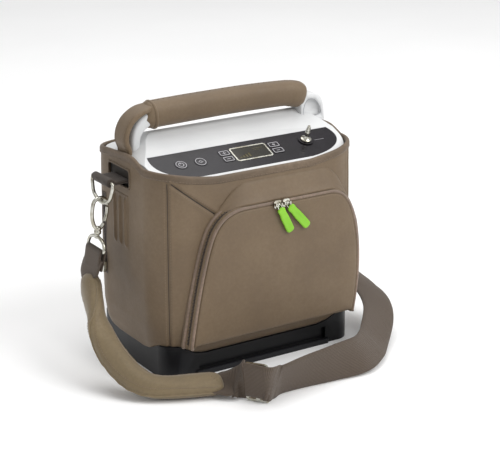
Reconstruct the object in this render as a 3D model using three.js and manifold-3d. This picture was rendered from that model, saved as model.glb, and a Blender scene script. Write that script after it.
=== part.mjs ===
// Portable oxygen concentrator standing in its soft carry case.
// Units are millimetres. +X is right, -Y is the front, +Z is up.
// The origin is the middle of the base, on the surface that the case stands on.
import * as THREE from 'three';
import { mergeVertices } from 'three/addons/utils/BufferGeometryUtils.js';
import Module from 'manifold-3d';

const wasm = await Module();
wasm.setup();

// ---------- driving dimensions ----------
const CASE = { halfX: 135.5, front: -85, back: 83, corner: 40, wall: 3, bottomZ: 27 };
const BASE = { halfX: 129, front: -81, back: 79, corner: 20, midZ: 26, cornerZ: 40 };
const RIM = { frontZ: 236, peakY: -18, peakZ: 255, backZ: 245, binding: 9 };
const DEVICE = { halfX: 131, front: -80.5, back: 78, corner: 38, skirtZ: 208, skin: 2.6 };
const SLOPE = { frontZ: 233, tan: 0.4, ridgeZ: 270 };
const PANEL = { y: -52.5, halfX: 121, halfS: 23.2, depth: 1.6 };
const INNER = { halfX: 122.5, front: -74.6, back: 72.6, corner: 22, lowZ: 6.5, highZ: 205, skin: 2.2 };
const BATTERY = { halfX: 62, y0: 37, y1: 69, lowZ: 60, highZ: 240 };
const POCKET = { front: -99, wall: 3, bottomZ: 44, topZ: 195.5 };
const GRIP = { y: 8, width: 22, sleeveWidth: 29 };
const WEB = { width: 42, thickness: 2 };
const PAD = { width: 41, thickness: 19 };
const RING = { x: -157, y: 8, z: 224, wire: 2.1, halfWidth: 24.5, lowX: -160, lowZ: 198 };
const HOOK = { x: -160, y: 8, topZ: 204.8, length: 41, halfWidth: 9.5, wire: 2.1, lean: 0.136 };
const GAP = 0.35;

// ---------- materials ----------
const finish = (color, roughness, metalness = 0) => ({ color, roughness, metalness });
const FABRIC = finish(0x7d6c58, 0.75);
const FABRIC_DARK = finish(0x5f5143, 0.8);
const WEBBING = finish(0x696052, 0.85);
const BLACK = finish(0x19181b, 0.4);
const RUBBER = finish(0x151515, 0.9);
const WHITE = finish(0xe4e6ea, 0.4);
const GLOSS = finish(0x2d282d, 0.15);
const SCREEN = finish(0x14120a, 0.1);
const SILVER = finish(0xc8c8be, 0.3, 0.9);
const GREEN = finish(0x96c83c, 0.5);
const GREY = finish(0x8b8f94, 0.55);
const BOARD = finish(0x1f5a3a, 0.6);

const root = new THREE.Group();

function addPart(name, geometry, look) {
  const mesh = new THREE.Mesh(geometry, new THREE.MeshStandardMaterial(look));
  mesh.name = name;
  root.add(mesh);
  return mesh;
}

// ---------- solids ----------
function toSolid(geometry) {
  const bare = geometry.clone();
  const extra = Object.keys(bare.attributes).filter((key) => key !== 'position');
  extra.forEach((key) => bare.deleteAttribute(key));
  const merged = mergeVertices(bare, 1e-4);
  const vertProperties = new Float32Array(merged.attributes.position.array);
  const triVerts = new Uint32Array(merged.index.array);
  return new wasm.Manifold(new wasm.Mesh({ numProp: 3, vertProperties, triVerts }));
}

function toGeometry(solid) {
  const mesh = solid.getMesh();
  const geometry = new THREE.BufferGeometry();
  geometry.setAttribute('position', new THREE.BufferAttribute(Float32Array.from(mesh.vertProperties), 3));
  geometry.setIndex(new THREE.BufferAttribute(Uint32Array.from(mesh.triVerts), 1));
  geometry.computeVertexNormals();
  return geometry;
}

// The one body of a cut solid, without the slivers that grazing cuts leave.
const larger = (a, b) => (b.volume() > a.volume() ? b : a);
const mainBody = (solid) => solid.decompose().reduce(larger);
const joinAll = (solids) => solids.reduce((sum, solid) => sum.add(solid));
const cutAll = (solid, tools) => tools.reduce((rest, tool) => rest.subtract(tool), solid);

function boxSolid(x0, x1, y0, y1, z0, z1) {
  const geometry = new THREE.BoxGeometry(x1 - x0, y1 - y0, z1 - z0);
  geometry.translate((x0 + x1) / 2, (y0 + y1) / 2, (z0 + z1) / 2);
  return toSolid(geometry);
}

// A cylinder from `from` along `axis`, a unit vector.
function rodSolid(from, axis, length, radius, segments = 20, endRadius = radius) {
  const geometry = new THREE.CylinderGeometry(endRadius, radius, length, segments);
  geometry.translate(0, length / 2, 0);
  geometry.applyQuaternion(new THREE.Quaternion().setFromUnitVectors(
    new THREE.Vector3(0, 1, 0), new THREE.Vector3(...axis)));
  geometry.translate(...from);
  return toSolid(geometry);
}

// ---------- outlines and extrusions ----------
function roundedOutline(x0, x1, y0, y1, corner) {
  const radius = Math.min(corner, 0.48 * (x1 - x0), 0.48 * (y1 - y0));
  const shape = new THREE.Shape();
  shape.moveTo(x0 + radius, y0);
  shape.lineTo(x1 - radius, y0);
  shape.absarc(x1 - radius, y0 + radius, radius, -Math.PI / 2, 0);
  shape.lineTo(x1, y1 - radius);
  shape.absarc(x1 - radius, y1 - radius, radius, 0, Math.PI / 2);
  shape.lineTo(x0 + radius, y1);
  shape.absarc(x0 + radius, y1 - radius, radius, Math.PI / 2, Math.PI);
  shape.lineTo(x0, y0 + radius);
  shape.absarc(x0 + radius, y0 + radius, radius, Math.PI, 1.5 * Math.PI);
  return shape;
}

const polygon = (points) => new THREE.Shape(points.map(([a, b]) => new THREE.Vector2(a, b)));
const smooth = (points, steps) => new THREE.Shape(
  new THREE.SplineCurve(points.map(([a, b]) => new THREE.Vector2(a, b))).getPoints(steps));

const extrusion = (shape, depth, segments) => new THREE.ExtrudeGeometry(
  shape, { depth, bevelEnabled: false, curveSegments: segments });

function extrudeZ(shape, z0, z1, segments = 8) {
  const geometry = extrusion(shape, z1 - z0, segments);
  geometry.translate(0, 0, z0);
  return toSolid(geometry);
}

// Extrudes an outline drawn in Y and Z along X.
function extrudeX(shape, x0, x1, segments = 8) {
  const geometry = extrusion(shape, x1 - x0, segments);
  geometry.applyMatrix4(new THREE.Matrix4().set(0, 0, 1, x0, 1, 0, 0, 0, 0, 1, 0, 0, 0, 0, 0, 1));
  return toSolid(geometry);
}

// Extrudes an outline drawn in X and Z along Y, from y0 to y1.
function extrudeY(shape, y0, y1, segments = 8) {
  const geometry = extrusion(shape, y1 - y0, segments);
  geometry.applyMatrix4(new THREE.Matrix4().set(1, 0, 0, 0, 0, 0, -1, y1, 0, 1, 0, 0, 0, 0, 0, 1));
  return toSolid(geometry);
}

// ---------- sweeps ----------
// Each station is [x, y, z, wx, wy, wz]: a point on the middle line and the direction of the width.
function sampleStations(stations, steps) {
  const spine = new THREE.CatmullRomCurve3(
    stations.map(([x, y, z]) => new THREE.Vector3(x, y, z)), false, 'catmullrom', 0.5);
  const widths = new THREE.CatmullRomCurve3(
    stations.map(([, , , x, y, z]) => new THREE.Vector3(x, y, z)), false, 'catmullrom', 0.5);
  const frames = [];
  for (let i = 0; i <= steps; i += 1) {
    const t = i / steps;
    const [before, after] = [Math.max(0, t - 0.002), Math.min(1, t + 0.002)];
    const tangent = spine.getPoint(after).sub(spine.getPoint(before)).normalize();
    const across = widths.getPoint(t);
    across.addScaledVector(tangent, -across.dot(tangent)).normalize();
    frames.push({ t, point: spine.getPoint(t), across, face: tangent.clone().cross(across) });
  }
  return frames;
}

// Mirrors a solid to the other side of the case.
function mirrored(solid) {
  const geometry = toGeometry(solid);
  geometry.scale(-1, 1, 1);
  return toSolid(flipped(geometry));
}

function moved(solid, matrix) {
  const geometry = toGeometry(solid);
  geometry.applyMatrix4(matrix);
  return toSolid(geometry);
}

// Skins a row of sections, each a list of points in the same order. A row is closed into a loop
// or ends in flat faces.
function skin(sections, looped = false) {
  const count = sections[0].length;
  const positions = sections.flat().flatMap((point) => point.toArray());
  const index = [];
  for (let i = 0; i < sections.length - (looped ? 0 : 1); i += 1) {
    const step = ((i + 1) % sections.length) * count;
    for (let j = 0; j < count; j += 1) {
      const next = (j + 1) % count;
      index.push(i * count + j, i * count + next, step + j, i * count + next, step + next, step + j);
    }
  }
  const last = (sections.length - 1) * count;
  const caps = looped ? [] : [[sections[0], 0, true], [sections.at(-1), last, false]];
  caps.forEach(([ring, start, first]) => {
    const middle = ring.reduce((sum, point) => sum.add(point), new THREE.Vector3()).divideScalar(count);
    const centre = positions.push(...middle.toArray()) / 3 - 1;
    for (let j = 0; j < count; j += 1) {
      const next = start + ((j + 1) % count);
      index.push(...(first ? [next, start + j, centre] : [start + j, next, centre]));
    }
  });
  const geometry = new THREE.BufferGeometry();
  geometry.setAttribute('position', new THREE.Float32BufferAttribute(positions, 3));
  geometry.setIndex(index);
  const solid = toSolid(geometry);
  return solid.volume() > 0 ? solid : toSolid(flipped(geometry));
}

function flipped(geometry) {
  const turned = geometry.clone();
  const old = Array.from(geometry.index.array);
  const index = [];
  for (let i = 0; i < old.length; i += 3) index.push(old[i], old[i + 2], old[i + 1]);
  turned.setIndex(index);
  return turned;
}

// `section` gives [across, face] points at t; sizes may change along the sweep.
function sweep(stations, steps, section) {
  return skin(sampleStations(stations, steps).map(({ t, point, across, face }) => section(t).map(
    ([a, b]) => point.clone().addScaledVector(across, a).addScaledVector(face, b))));
}

const flatSection = (width, thickness) => [
  [-width / 2, -thickness / 2], [width / 2, -thickness / 2],
  [width / 2, thickness / 2], [-width / 2, thickness / 2]];

function chamferedSection(width, thickness, chamfer) {
  const [a, b] = [width / 2, thickness / 2];
  return [[-a + chamfer, -b], [a - chamfer, -b], [a, -b + chamfer], [a, b - chamfer],
    [a - chamfer, b], [-a + chamfer, b], [-a, b - chamfer], [-a, -b + chamfer]];
}

function ovalSection(width, thickness, sides = 12) {
  return Array.from({ length: sides }, (_, i) => {
    const angle = (2 * Math.PI * i) / sides;
    return [(width / 2) * Math.cos(angle), (thickness / 2) * Math.sin(angle)];
  });
}

const WIRE_SIDES = 6;

// A round wire bent into a closed ring through some points.
function wireRing(points, radius, steps) {
  const path = new THREE.CatmullRomCurve3(
    points.map((p) => new THREE.Vector3(...p)), true, 'catmullrom', 0.5);
  const { normals, binormals } = path.computeFrenetFrames(steps, true);
  return skin(Array.from({ length: steps }, (_, i) => Array.from({ length: WIRE_SIDES }, (__, j) => {
    const angle = (2 * j * Math.PI) / WIRE_SIDES;
    return path.getPointAt(i / steps).addScaledVector(normals[i], radius * Math.cos(angle))
      .addScaledVector(binormals[i], radius * Math.sin(angle));
  })), true);
}

// ---------- heights that several pieces share ----------
const slopeZ = (y) => SLOPE.frontZ + SLOPE.tan * (y - DEVICE.front);

// The open edge of the case, seen from the side, lowered by `drop`.
function rimLine(drop) {
  return [[-110, RIM.frontZ - drop], [CASE.front, RIM.frontZ - drop], [-70, RIM.frontZ + 1.8 - drop],
    [-45, RIM.frontZ + 10 - drop], [RIM.peakY - 6, RIM.peakZ - 0.8 - drop], [RIM.peakY + 8, RIM.peakZ - drop],
    [40, RIM.peakZ - 4 - drop], [CASE.back, RIM.backZ - drop], [110, RIM.backZ - drop]];
}

// The open edge seen from the front, where it rises towards the corners.
const RIM_RISE = [[0, 236], [62, 236], [80, 238.5], [97, 241.5], [112, 244.5], [135, 247], [160, 247]];

function belowRim(drop) {
  const alongY = extrudeX(polygon([[-110, -50], [110, -50], ...rimLine(drop).reverse()]), -160, 160);
  const risen = RIM_RISE.map(([x, z]) => [x, z - drop]);
  const mirror = risen.slice(1).map(([x, z]) => [-x, z]);
  const alongX = extrudeY(polygon([[-160, -50], [160, -50], ...risen.reverse(), ...mirror]), -110, 110);
  return alongY.add(alongX);
}

function caseOutline(inset) {
  return roundedOutline(-CASE.halfX + inset, CASE.halfX - inset, CASE.front + inset, CASE.back - inset,
    CASE.corner - inset);
}

// ---------- carry case ----------
const SLOT = { y0: -17, y1: 33, z0: 215, z1: 237 };
const VENT = { x0: 70, x1: 114, y0: 66, y1: 95, z0: 64, z1: 108 };
const INLET = { x: -95, z: 50, radius: 5 };

// The part of the base zone that lies below the tray's scooped edge, raised by `lift`.
function belowTrayEdge(lift, outward) {
  const block = extrudeZ(roundedOutline(-BASE.halfX - outward, BASE.halfX + outward, BASE.front - outward,
    BASE.back + outward, BASE.corner + outward), 0, BASE.cornerZ + lift);
  const edge = (reach, dip) => polygon([[-reach, 60], [-reach - 14, BASE.cornerZ + lift + 0.01],
    [-reach + 6, dip + 3 + lift], [-reach + 20, dip + lift], [reach - 20, dip + lift],
    [reach - 6, dip + 3 + lift], [reach + 14, BASE.cornerZ + lift + 0.01], [reach, 60]]);
  return cutAll(block, [extrudeY(edge(98, BASE.midZ), -110, 110),
    extrudeX(edge(50, BASE.midZ + 2), -160, 160)]);
}

// The outer form of the case, drawn in by `inset`: it tapers in over the base.
function caseDrum(inset, drop = 0) {
  const levels = [[CASE.bottomZ, 6.5], [CASE.bottomZ + 14, 2.2], [CASE.bottomZ + 34, 0], [262, 0]];
  return skin(levels.map(([z, pull]) => caseOutline(inset + pull).getPoints(7)
    .slice(0, -1).map((p) => new THREE.Vector3(p.x, p.y, z - drop))));
}

function buildCaseShell() {
  const shell = cutAll(caseDrum(0), [caseDrum(CASE.wall, 0.5), boxSolid(-95, 95, -50, 50, 20, 40)])
    .intersect(belowRim(RIM.binding + GAP));
  const rearVents = [-1, 1].map((side) => boxSolid(
    side < 0 ? -VENT.x1 : VENT.x0, side < 0 ? -VENT.x0 : VENT.x1, VENT.y0, VENT.y1, VENT.z0, VENT.z1));
  const slots = [[-150, -120], [120, 150]].map(
    ([x0, x1]) => boxSolid(x0, x1, SLOT.y0, SLOT.y1, SLOT.z0, SLOT.z1));
  const inletWindow = boxSolid(INLET.x - 8, INLET.x + 8, 70, 95, INLET.z - 6, INLET.z + 6);
  return cutAll(shell, [belowTrayEdge(GAP, 12), ...rearVents, ...slots, inletWindow]);
}

function buildRimBinding() {
  const band = extrudeZ(caseOutline(-0.9), 200, 270)
    .subtract(extrudeZ(caseOutline(CASE.wall + 0.6), 190, 280));
  return band.intersect(belowRim(0)).subtract(belowRim(RIM.binding));
}

function buildBaseTray() {
  const wall = 5.5;
  const inside = extrudeZ(roundedOutline(-BASE.halfX + wall, BASE.halfX - wall, BASE.front + wall,
    BASE.back - wall, BASE.corner - wall), 5, BASE.cornerZ + 5);
  const recess = boxSolid(-86, 90, BASE.front - 5, BASE.front + 4.6, 7, 21);
  const lip = extrudeZ(roundedOutline(-90, 94, BASE.front - 3, BASE.front + 3, 2), 0, 6, 3);
  return cutAll(belowTrayEdge(0, 0), [inside, recess]).add(lip);
}

function buildSideVent() {
  const ribs = [-6, 6.5, 19].map((y) => extrudeZ(
    roundedOutline(-CASE.halfX - 2.6, -CASE.halfX - GAP - 0.6, y - 2.2, y + 2.2, 1), 146, 200, 2));
  return joinAll(ribs).add(boxSolid(-CASE.halfX - 1.2, -CASE.halfX - GAP, -11, 24, 142, 204));
}

// Tape of the zip on the left side, towards the rear, with a free run below for its slider.
const SIDE_ZIP = { y: 46, z0: 96, z1: 196 };
const buildSideZip = () => boxSolid(-CASE.halfX - 1.6, -CASE.halfX - 0.8, SIDE_ZIP.y - 4, SIDE_ZIP.y + 4,
  SIDE_ZIP.z0, SIDE_ZIP.z1);

function buildRearVent() {
  const frame = boxSolid(VENT.x0 + GAP, VENT.x1 - GAP, CASE.back - 2.6, CASE.back - 0.4,
    VENT.z0 + GAP, VENT.z1 - GAP);
  const slits = [0, 1, 2, 3, 4, 5].map((i) => boxSolid(
    VENT.x0 + 6, VENT.x1 - 6, CASE.back - 5, CASE.back + 5, VENT.z0 + 7 + i * 6.4, VENT.z0 + 10 + i * 6.4));
  return cutAll(frame, slits);
}

function buildCase() {
  addPart('bag_shell', toGeometry(buildCaseShell()), FABRIC);
  addPart('rim_binding', toGeometry(buildRimBinding()), FABRIC_DARK);
  addPart('base_tray', toGeometry(buildBaseTray()), BLACK);
  addPart('side_vent_left', toGeometry(buildSideVent()), FABRIC_DARK);
  addPart('side_vent_right', toGeometry(mirrored(buildSideVent())), FABRIC_DARK);
  addPart('side_zip_tape', toGeometry(buildSideZip()), FABRIC_DARK);
  addPart('side_zip_slider', toGeometry(boxSolid(-CASE.halfX - 4.2, -CASE.halfX - 1.6 - GAP,
    SIDE_ZIP.y - 4, SIDE_ZIP.y + 4, SIDE_ZIP.z0 + 4, SIDE_ZIP.z0 + 15)
    .add(boxSolid(-CASE.halfX - 5.6, -CASE.halfX - 3.4, SIDE_ZIP.y - 2.5, SIDE_ZIP.y + 2.5,
      SIDE_ZIP.z0 + 2, SIDE_ZIP.z0 + 26))), SILVER);
  addPart('rear_vent', toGeometry(buildRearVent()), BLACK);
}

// ---------- front pocket ----------
// Outline of the zip line, seen from the front in x and z, growing outwards by `grow`.
function pocketOutline(grow, bottomZ = POCKET.bottomZ) {
  const wide = grow * 1.5;
  const shape = new THREE.Shape();
  shape.moveTo(-103 - grow, bottomZ);
  shape.bezierCurveTo(-96 - grow, 90, -86 - grow, 140, -76 - grow, 166);
  shape.bezierCurveTo(-68 - grow, 186 + grow * 0.6, -54, POCKET.topZ + grow, -32, POCKET.topZ + grow);
  shape.lineTo(82, POCKET.topZ + grow);
  shape.bezierCurveTo(104 + grow * 0.4, POCKET.topZ + grow, 112 + grow, 176 + grow * 0.4, 117 + wide, 152);
  shape.bezierCurveTo(124 + wide, 120, 125 + wide, 80, 120 + wide, bottomZ);
  return shape;
}

const POCKET_ZIP = { z: 196 };
// Side, x of the slider, lean of its pull to the right, length of the pull.
const PULLS = [['left', 7, 0.46, 39], ['right', 18.5, 0.725, 44]];

function buildPocket() {
  const frame = extrudeY(pocketOutline(8, 40), POCKET.front + 1.2, -58, 6).subtract(caseDrum(-GAP));
  const cavity = extrudeY(pocketOutline(GAP - POCKET.wall + 2, POCKET.bottomZ), POCKET.front - 5, -75, 6);
  addPart('pocket_gusset', toGeometry(mainBody(frame.subtract(cavity))), FABRIC_DARK);
  const flap = extrudeY(pocketOutline(-1.4, POCKET.bottomZ + 0.6), POCKET.front, POCKET.front + 3, 6);
  addPart('pocket_flap', toGeometry(flap), FABRIC);
  PULLS.forEach(([side, x, lean, length]) => {
    addPart(`zip_slider_${side}`, toGeometry(buildSlider(x)), SILVER);
    addPart(`zip_pull_${side}`, toGeometry(buildPull(x, lean, length)), GREEN);
  });
}

function buildSlider(x) {
  const front = POCKET.front - GAP;
  const shoe = extrudeY(roundedOutline(x - 4.5, x + 4.5, POCKET_ZIP.z - 4.5, POCKET_ZIP.z + 4.5, 2),
    front - 2.4, front, 3);
  const ears = [-3.8, 3.8].map((off) => boxSolid(x + off - 0.6, x + off + 0.6, front - 6, front - 2,
    POCKET_ZIP.z - 1.4, POCKET_ZIP.z + 2));
  return joinAll([shoe, ...ears]);
}

// The pull hangs by a small barrel between its slider's ears, leaning over to the right.
const pullAxisY = POCKET.front - GAP - 4.35;

function buildPull(x, lean, length) {
  const barrel = rodSolid([x - 2.8, pullAxisY, POCKET_ZIP.z], [1, 0, 0], 5.6, 1.7, 12)
    .add(boxSolid(x - 1.8, x + 2.4, pullAxisY - 1, pullAxisY + 1, POCKET_ZIP.z - 7, POCKET_ZIP.z));
  const blade = extrudeY(roundedOutline(-4.6, 4.6, -length, -4.6, 4.2), -1.6, 1.6, 3);
  const place = new THREE.Matrix4().makeTranslation(x, pullAxisY, POCKET_ZIP.z)
    .multiply(new THREE.Matrix4().makeRotationY(-lean));
  return moved(blade, place).add(barrel);
}

// ---------- device: top housing, panel and keys ----------
const TILT = Math.atan(SLOPE.tan);
const slopePlace = new THREE.Matrix4().makeTranslation(0, PANEL.y, slopeZ(PANEL.y))
  .multiply(new THREE.Matrix4().makeRotationX(TILT));

// Extrudes an outline drawn on the sloping face (x across, s up the slope) between two heights above it.
function extrudeOnSlope(shape, low, high, segments = 5) {
  return moved(extrudeZ(shape, low, high, segments), slopePlace);
}

function panelOutline(grow) {
  const shape = new THREE.Shape();
  const [half, s] = [PANEL.halfX + grow, PANEL.halfS + grow];
  shape.moveTo(-half, s);
  shape.bezierCurveTo(-half - 7, -2, -108 - grow, -s + 4, -74, -s);
  shape.lineTo(74, -s);
  shape.bezierCurveTo(110 + grow, -s + 4, half + 13, -2, half, s);
  return shape;
}

const KEYS = [
  ['power_button', -89, 1.6, 14.6, 14.6, 7.2],
  ['mute_button', -64, 1, 14.6, 14.6, 7.2],
  ['mode_up_key', -29, 8.2, 14, 9.6, 2.4],
  ['mode_down_key', -29, -2.8, 14, 9.6, 2.4],
  ['flow_up_key', 38, 8.2, 15, 9.6, 2.4],
  ['flow_down_key', 38, -2.8, 15, 9.6, 2.4],
];
const keyOutline = ([, x, s, w, h, r], grow) => roundedOutline(
  x - w / 2 - grow, x + w / 2 + grow, s - h / 2 - grow, s + h / 2 + grow, r + grow);
const LCD = { x0: -18.6, x1: 26.4, s0: -8.4, s1: 12.8, frame: 1.7 };
const lcdOutline = (grow) => roundedOutline(
  LCD.x0 - grow, LCD.x1 + grow, LCD.s0 - grow, LCD.s1 + grow, 1.5 + Math.max(grow, 0));
const BARB = { x: 81.5, s: 6, flange: 6.6, stem: 2.6, height: 19 };

// The outer form of the device's top, lowered by `drop` and drawn in by `inset`.
function topForm(inset, drop) {
  const plan = extrudeZ(roundedOutline(-DEVICE.halfX + inset, DEVICE.halfX - inset, DEVICE.front + inset,
    DEVICE.back - inset, DEVICE.corner - inset), DEVICE.skirtZ - (inset ? 5 : 0), 290);
  const front = DEVICE.front - 10;
  const side = [[front, 190], [front, slopeZ(front)], [4, slopeZ(4)], [8, 269], [12, SLOPE.ridgeZ], [17, 269],
    [24, 263], [30, 254], [34, 247], [DEVICE.back + 10, 243], [DEVICE.back + 10, 190]];
  const profile = extrudeX(polygon(side.map(([y, z]) => [y, z - drop])), -150, 150);
  const ends = [[-140, 190], [-140, 244], [-131, 248], [-124, 252.5], [-116, 257.5], [-107, 264],
    [-98, 268.5], [-88, 270.5], [98, 270.5], [109, 268.5], [118, 264.5], [125, 259], [131, 252.5],
    [140, 246], [140, 190]];
  const reach = extrudeY(polygon(ends.map(([x, z]) => [x, z - drop])), -120, 120);
  return plan.intersect(profile).intersect(reach);
}

function buildTopHousing() {
  const shell = topForm(0, 0).subtract(topForm(DEVICE.skin, DEVICE.skin));
  const panelBed = extrudeOnSlope(panelOutline(GAP), -PANEL.depth - GAP, 8, 16);
  const window = extrudeOnSlope(roundedOutline(-112, 112, -15, 18, 8), -20, 5);
  const bay = boxSolid(-BATTERY.halfX - 1, BATTERY.halfX + 1, BATTERY.y0 - 1, BATTERY.y1 + 1, 200, 260);
  const bedBacking = extrudeOnSlope(panelOutline(2), -PANEL.depth - GAP - 2.2, -PANEL.depth, 16);
  return cutAll(shell.add(bedBacking.intersect(topForm(1, 0))), [panelBed, window, bay]);
}

const HANDLE_STATIONS = [[-118, 238], [-119, 256], [-116, 273], [-105, 285], [-86, 290.5], [-30, 292],
  [30, 292.5], [86, 291.5], [104, 288.5], [115, 280], [120, 266], [120.5, 252], [121, 238]]
  .map(([x, z]) => [x, GRIP.y, z, 0, 1, 0]);
// Outline of the broad right post, in x and z.
const POST = [[105.5, 240], [105, 262], [104, 276], [105, 285], [113, 288.8], [124, 288], [132.5, 283.5],
  [137.5, 275], [139.5, 262], [141, 240]];
const RECESS = [[110, 262], [110, 275], [116, 281.5], [124, 280], [130.5, 273], [132, 262], [110, 262]];

function handleSection(t, grow) {
  const rightLeg = THREE.MathUtils.smoothstep(t, 0.7, 0.86);
  const leftLeg = 1 - THREE.MathUtils.smoothstep(t, 0.1, 0.3);
  return chamferedSection(GRIP.width + 2 * grow, 17 + 6 * rightLeg - 5 * leftLeg + 2 * grow, 4);
}

function handleForm(grow) {
  const scale = 1 + grow / 16;
  const outline = POST.map(([x, z]) => [121 + (x - 121) * scale, 262 + (z - 262) * scale]);
  const reach = GRIP.width / 2 + grow;
  const post = extrudeY(smooth(outline, 36), GRIP.y - reach, GRIP.y + reach);
  return sweep(HANDLE_STATIONS, 26, (t) => handleSection(t, grow)).add(post);
}

function buildHandle() {
  const arch = handleForm(0);
  const recess = extrudeY(smooth(RECESS, 24), -10, GRIP.y - GRIP.width / 2 + 3.2);
  const rimRoom = boxSolid(-150, -130.5, -40, 60, 230, RIM.peakZ + 0.6)
    .add(boxSolid(130.5, 150, -40, 60, 230, RIM.peakZ + 0.6));
  return cutAll(arch, [recess, topForm(0, -GAP), rimRoom, boxSolid(-150, 150, -50, 60, 200, 243)]);
}

function buildSleeve() {
  const grip = [[-94, 290.5], [-88, 291], [-30, 292], [30, 292.3], [84, 291], [98, 289.7], [108, 288.4]]
    .map(([x, z]) => [x, GRIP.y, z, 0, 1, 0]);
  const size = (t) => (t > 0.9 ? 1 - (t - 0.9) * 2.2 : 1) * (t < 0.05 ? 0.9 + t * 2 : 1);
  const tube = sweep(grip, 20, (t) => ovalSection(GRIP.sleeveWidth * size(t), 31 * size(t), 14));
  const tail = [[-128, 251], [-128.4, 256.5], [-131.6, 266], [-130, 277], [-123.5, 288], [-112, 296.5],
    [-98, 301], [-84, 303]].map(([x, z]) => [x, GRIP.y, z, 0, 1, 0]);
  const strap = sweep(tail, 14, () => flatSection(27, 6.5));
  return mainBody(cutAll(strap.add(tube), [handleForm(GAP), topForm(0, -GAP)]));
}

function buildBarb() {
  const profile = [[0, 0], [BARB.flange, 0], [BARB.flange, 1.2], [5.2, 2.6], [BARB.stem, 4.2], [BARB.stem, 9],
    [3.1, 9.4], [BARB.stem - 0.2, 12], [3, 12.4], [2.2, 16], [1.7, BARB.height], [0, BARB.height]];
  const geometry = new THREE.LatheGeometry(profile.map(([r, z]) => new THREE.Vector2(r, z)), 14);
  geometry.rotateX(Math.PI / 2);
  geometry.translate(BARB.x, BARB.s, 1.4 + GAP);
  return moved(toSolid(geometry), slopePlace);
}

function buildDeviceTop() {
  addPart('top_housing', toGeometry(buildTopHousing()), WHITE);
  addPart('handle', toGeometry(buildHandle()), WHITE);
  addPart('handle_sleeve', toGeometry(buildSleeve()), FABRIC);
  const keyHoles = KEYS.map((key) => extrudeOnSlope(keyOutline(key, 0.4), -6, 6, key[5] > 5 ? 5 : 2));
  const lcdHole = extrudeOnSlope(lcdOutline(LCD.frame + GAP), -6, 6);
  addPart('control_panel', toGeometry(cutAll(
    extrudeOnSlope(panelOutline(0), -PANEL.depth, 0.1, 16), [...keyHoles, lcdHole])), GLOSS);
  KEYS.forEach((key) => addPart(key[0], toGeometry(
    extrudeOnSlope(keyOutline(key, 0), -1, 0.6, key[5] > 5 ? 5 : 2)), GLOSS));
  addPart('lcd_frame', toGeometry(extrudeOnSlope(lcdOutline(LCD.frame), -2, 0.5)
    .subtract(extrudeOnSlope(lcdOutline(0), -4, 4))), SILVER);
  addPart('lcd_window', toGeometry(extrudeOnSlope(lcdOutline(-GAP), -1.8, 0)), SCREEN);
  const ring = new THREE.Shape();
  ring.absarc(BARB.x, BARB.s, 9.5, 0, 2 * Math.PI);
  addPart('barb_seat', toGeometry(extrudeOnSlope(ring, 0.1 + GAP, 1.4, 10)), GLOSS);
  addPart('cannula_barb', toGeometry(buildBarb()), SILVER);
}

// ---------- device: inside ----------
const innerOutline = (inset) => roundedOutline(-INNER.halfX + inset, INNER.halfX - inset, INNER.front + inset,
  INNER.back - inset, INNER.corner - inset);

function buildInnerHousing(front) {
  const shell = extrudeZ(innerOutline(0), INNER.lowZ, INNER.highZ, 5)
    .subtract(extrudeZ(innerOutline(INNER.skin), INNER.lowZ + INNER.skin, INNER.highZ + 5, 5));
  const half = front ? boxSolid(-200, 200, -200, -GAP / 2, -10, 300)
    : boxSolid(-200, 200, GAP / 2, 200, -10, 300);
  const body = shell.intersect(half);
  if (front) return body;
  const ports = [-1, 1].map((side) => boxSolid(side < 0 ? -VENT.x1 : VENT.x0, side < 0 ? -VENT.x0 : VENT.x1,
    60, 90, VENT.z0, VENT.z1));
  const bayFloor = boxSolid(-66, 66, 34, INNER.back - 1, BATTERY.lowZ - 4, BATTERY.lowZ - GAP);
  const inlet = rodSolid([INLET.x, 60, INLET.z], [0, 1, 0], 30, INLET.radius + 0.3);
  return cutAll(body.add(bayFloor), [...ports, inlet]);
}

function buildCompressor() {
  const block = rodSolid([-34, -16, 46], [1, 0, 0], 68, 25, 18);
  const motor = rodSolid([33, -16, 46], [1, 0, 0], 26, 21, 18);
  const heads = [-16, 16].map((x) => boxSolid(x - 11, x + 11, -30, -2, 66, 92));
  const finRows = [70, 75, 80, 85].map((z) => boxSolid(-28.5, 28.5, -33, 1, z, z + 1.6));
  return joinAll([block, motor, ...heads, ...finRows, boxSolid(-30, 55, -30, -2, 18, 26)]);
}

function buildImpeller(x, z, y0) {
  const hub = rodSolid([x, y0, z], [0, 1, 0], 10, 7.5, 16);
  const blades = Array.from({ length: 7 }, (_, i) => {
    const blade = boxSolid(-0.8, 0.8, -4.2, 4.2, 5, 18);
    const turn = new THREE.Matrix4().makeTranslation(x, y0 + 5, z)
      .multiply(new THREE.Matrix4().makeRotationY((i * 2 * Math.PI) / 7))
      .multiply(new THREE.Matrix4().makeRotationZ(0.6));
    return moved(blade, turn);
  });
  return joinAll([hub, ...blades]);
}

function buildFanHousing(x, z, y0) {
  const frame = boxSolid(x - 21, x + 21, y0, y0 + 14, z - 21, z + 21);
  const bore = rodSolid([x, y0 + 2, z], [0, 1, 0], 30, 19.4);
  const slots = [0, 1, 2, 3].map(
    (i) => boxSolid(x - 13, x + 13, y0 - 3, y0 + 5, z - 14 + i * 8, z - 10 + i * 8));
  return cutAll(frame, [bore, ...slots]);
}

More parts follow.
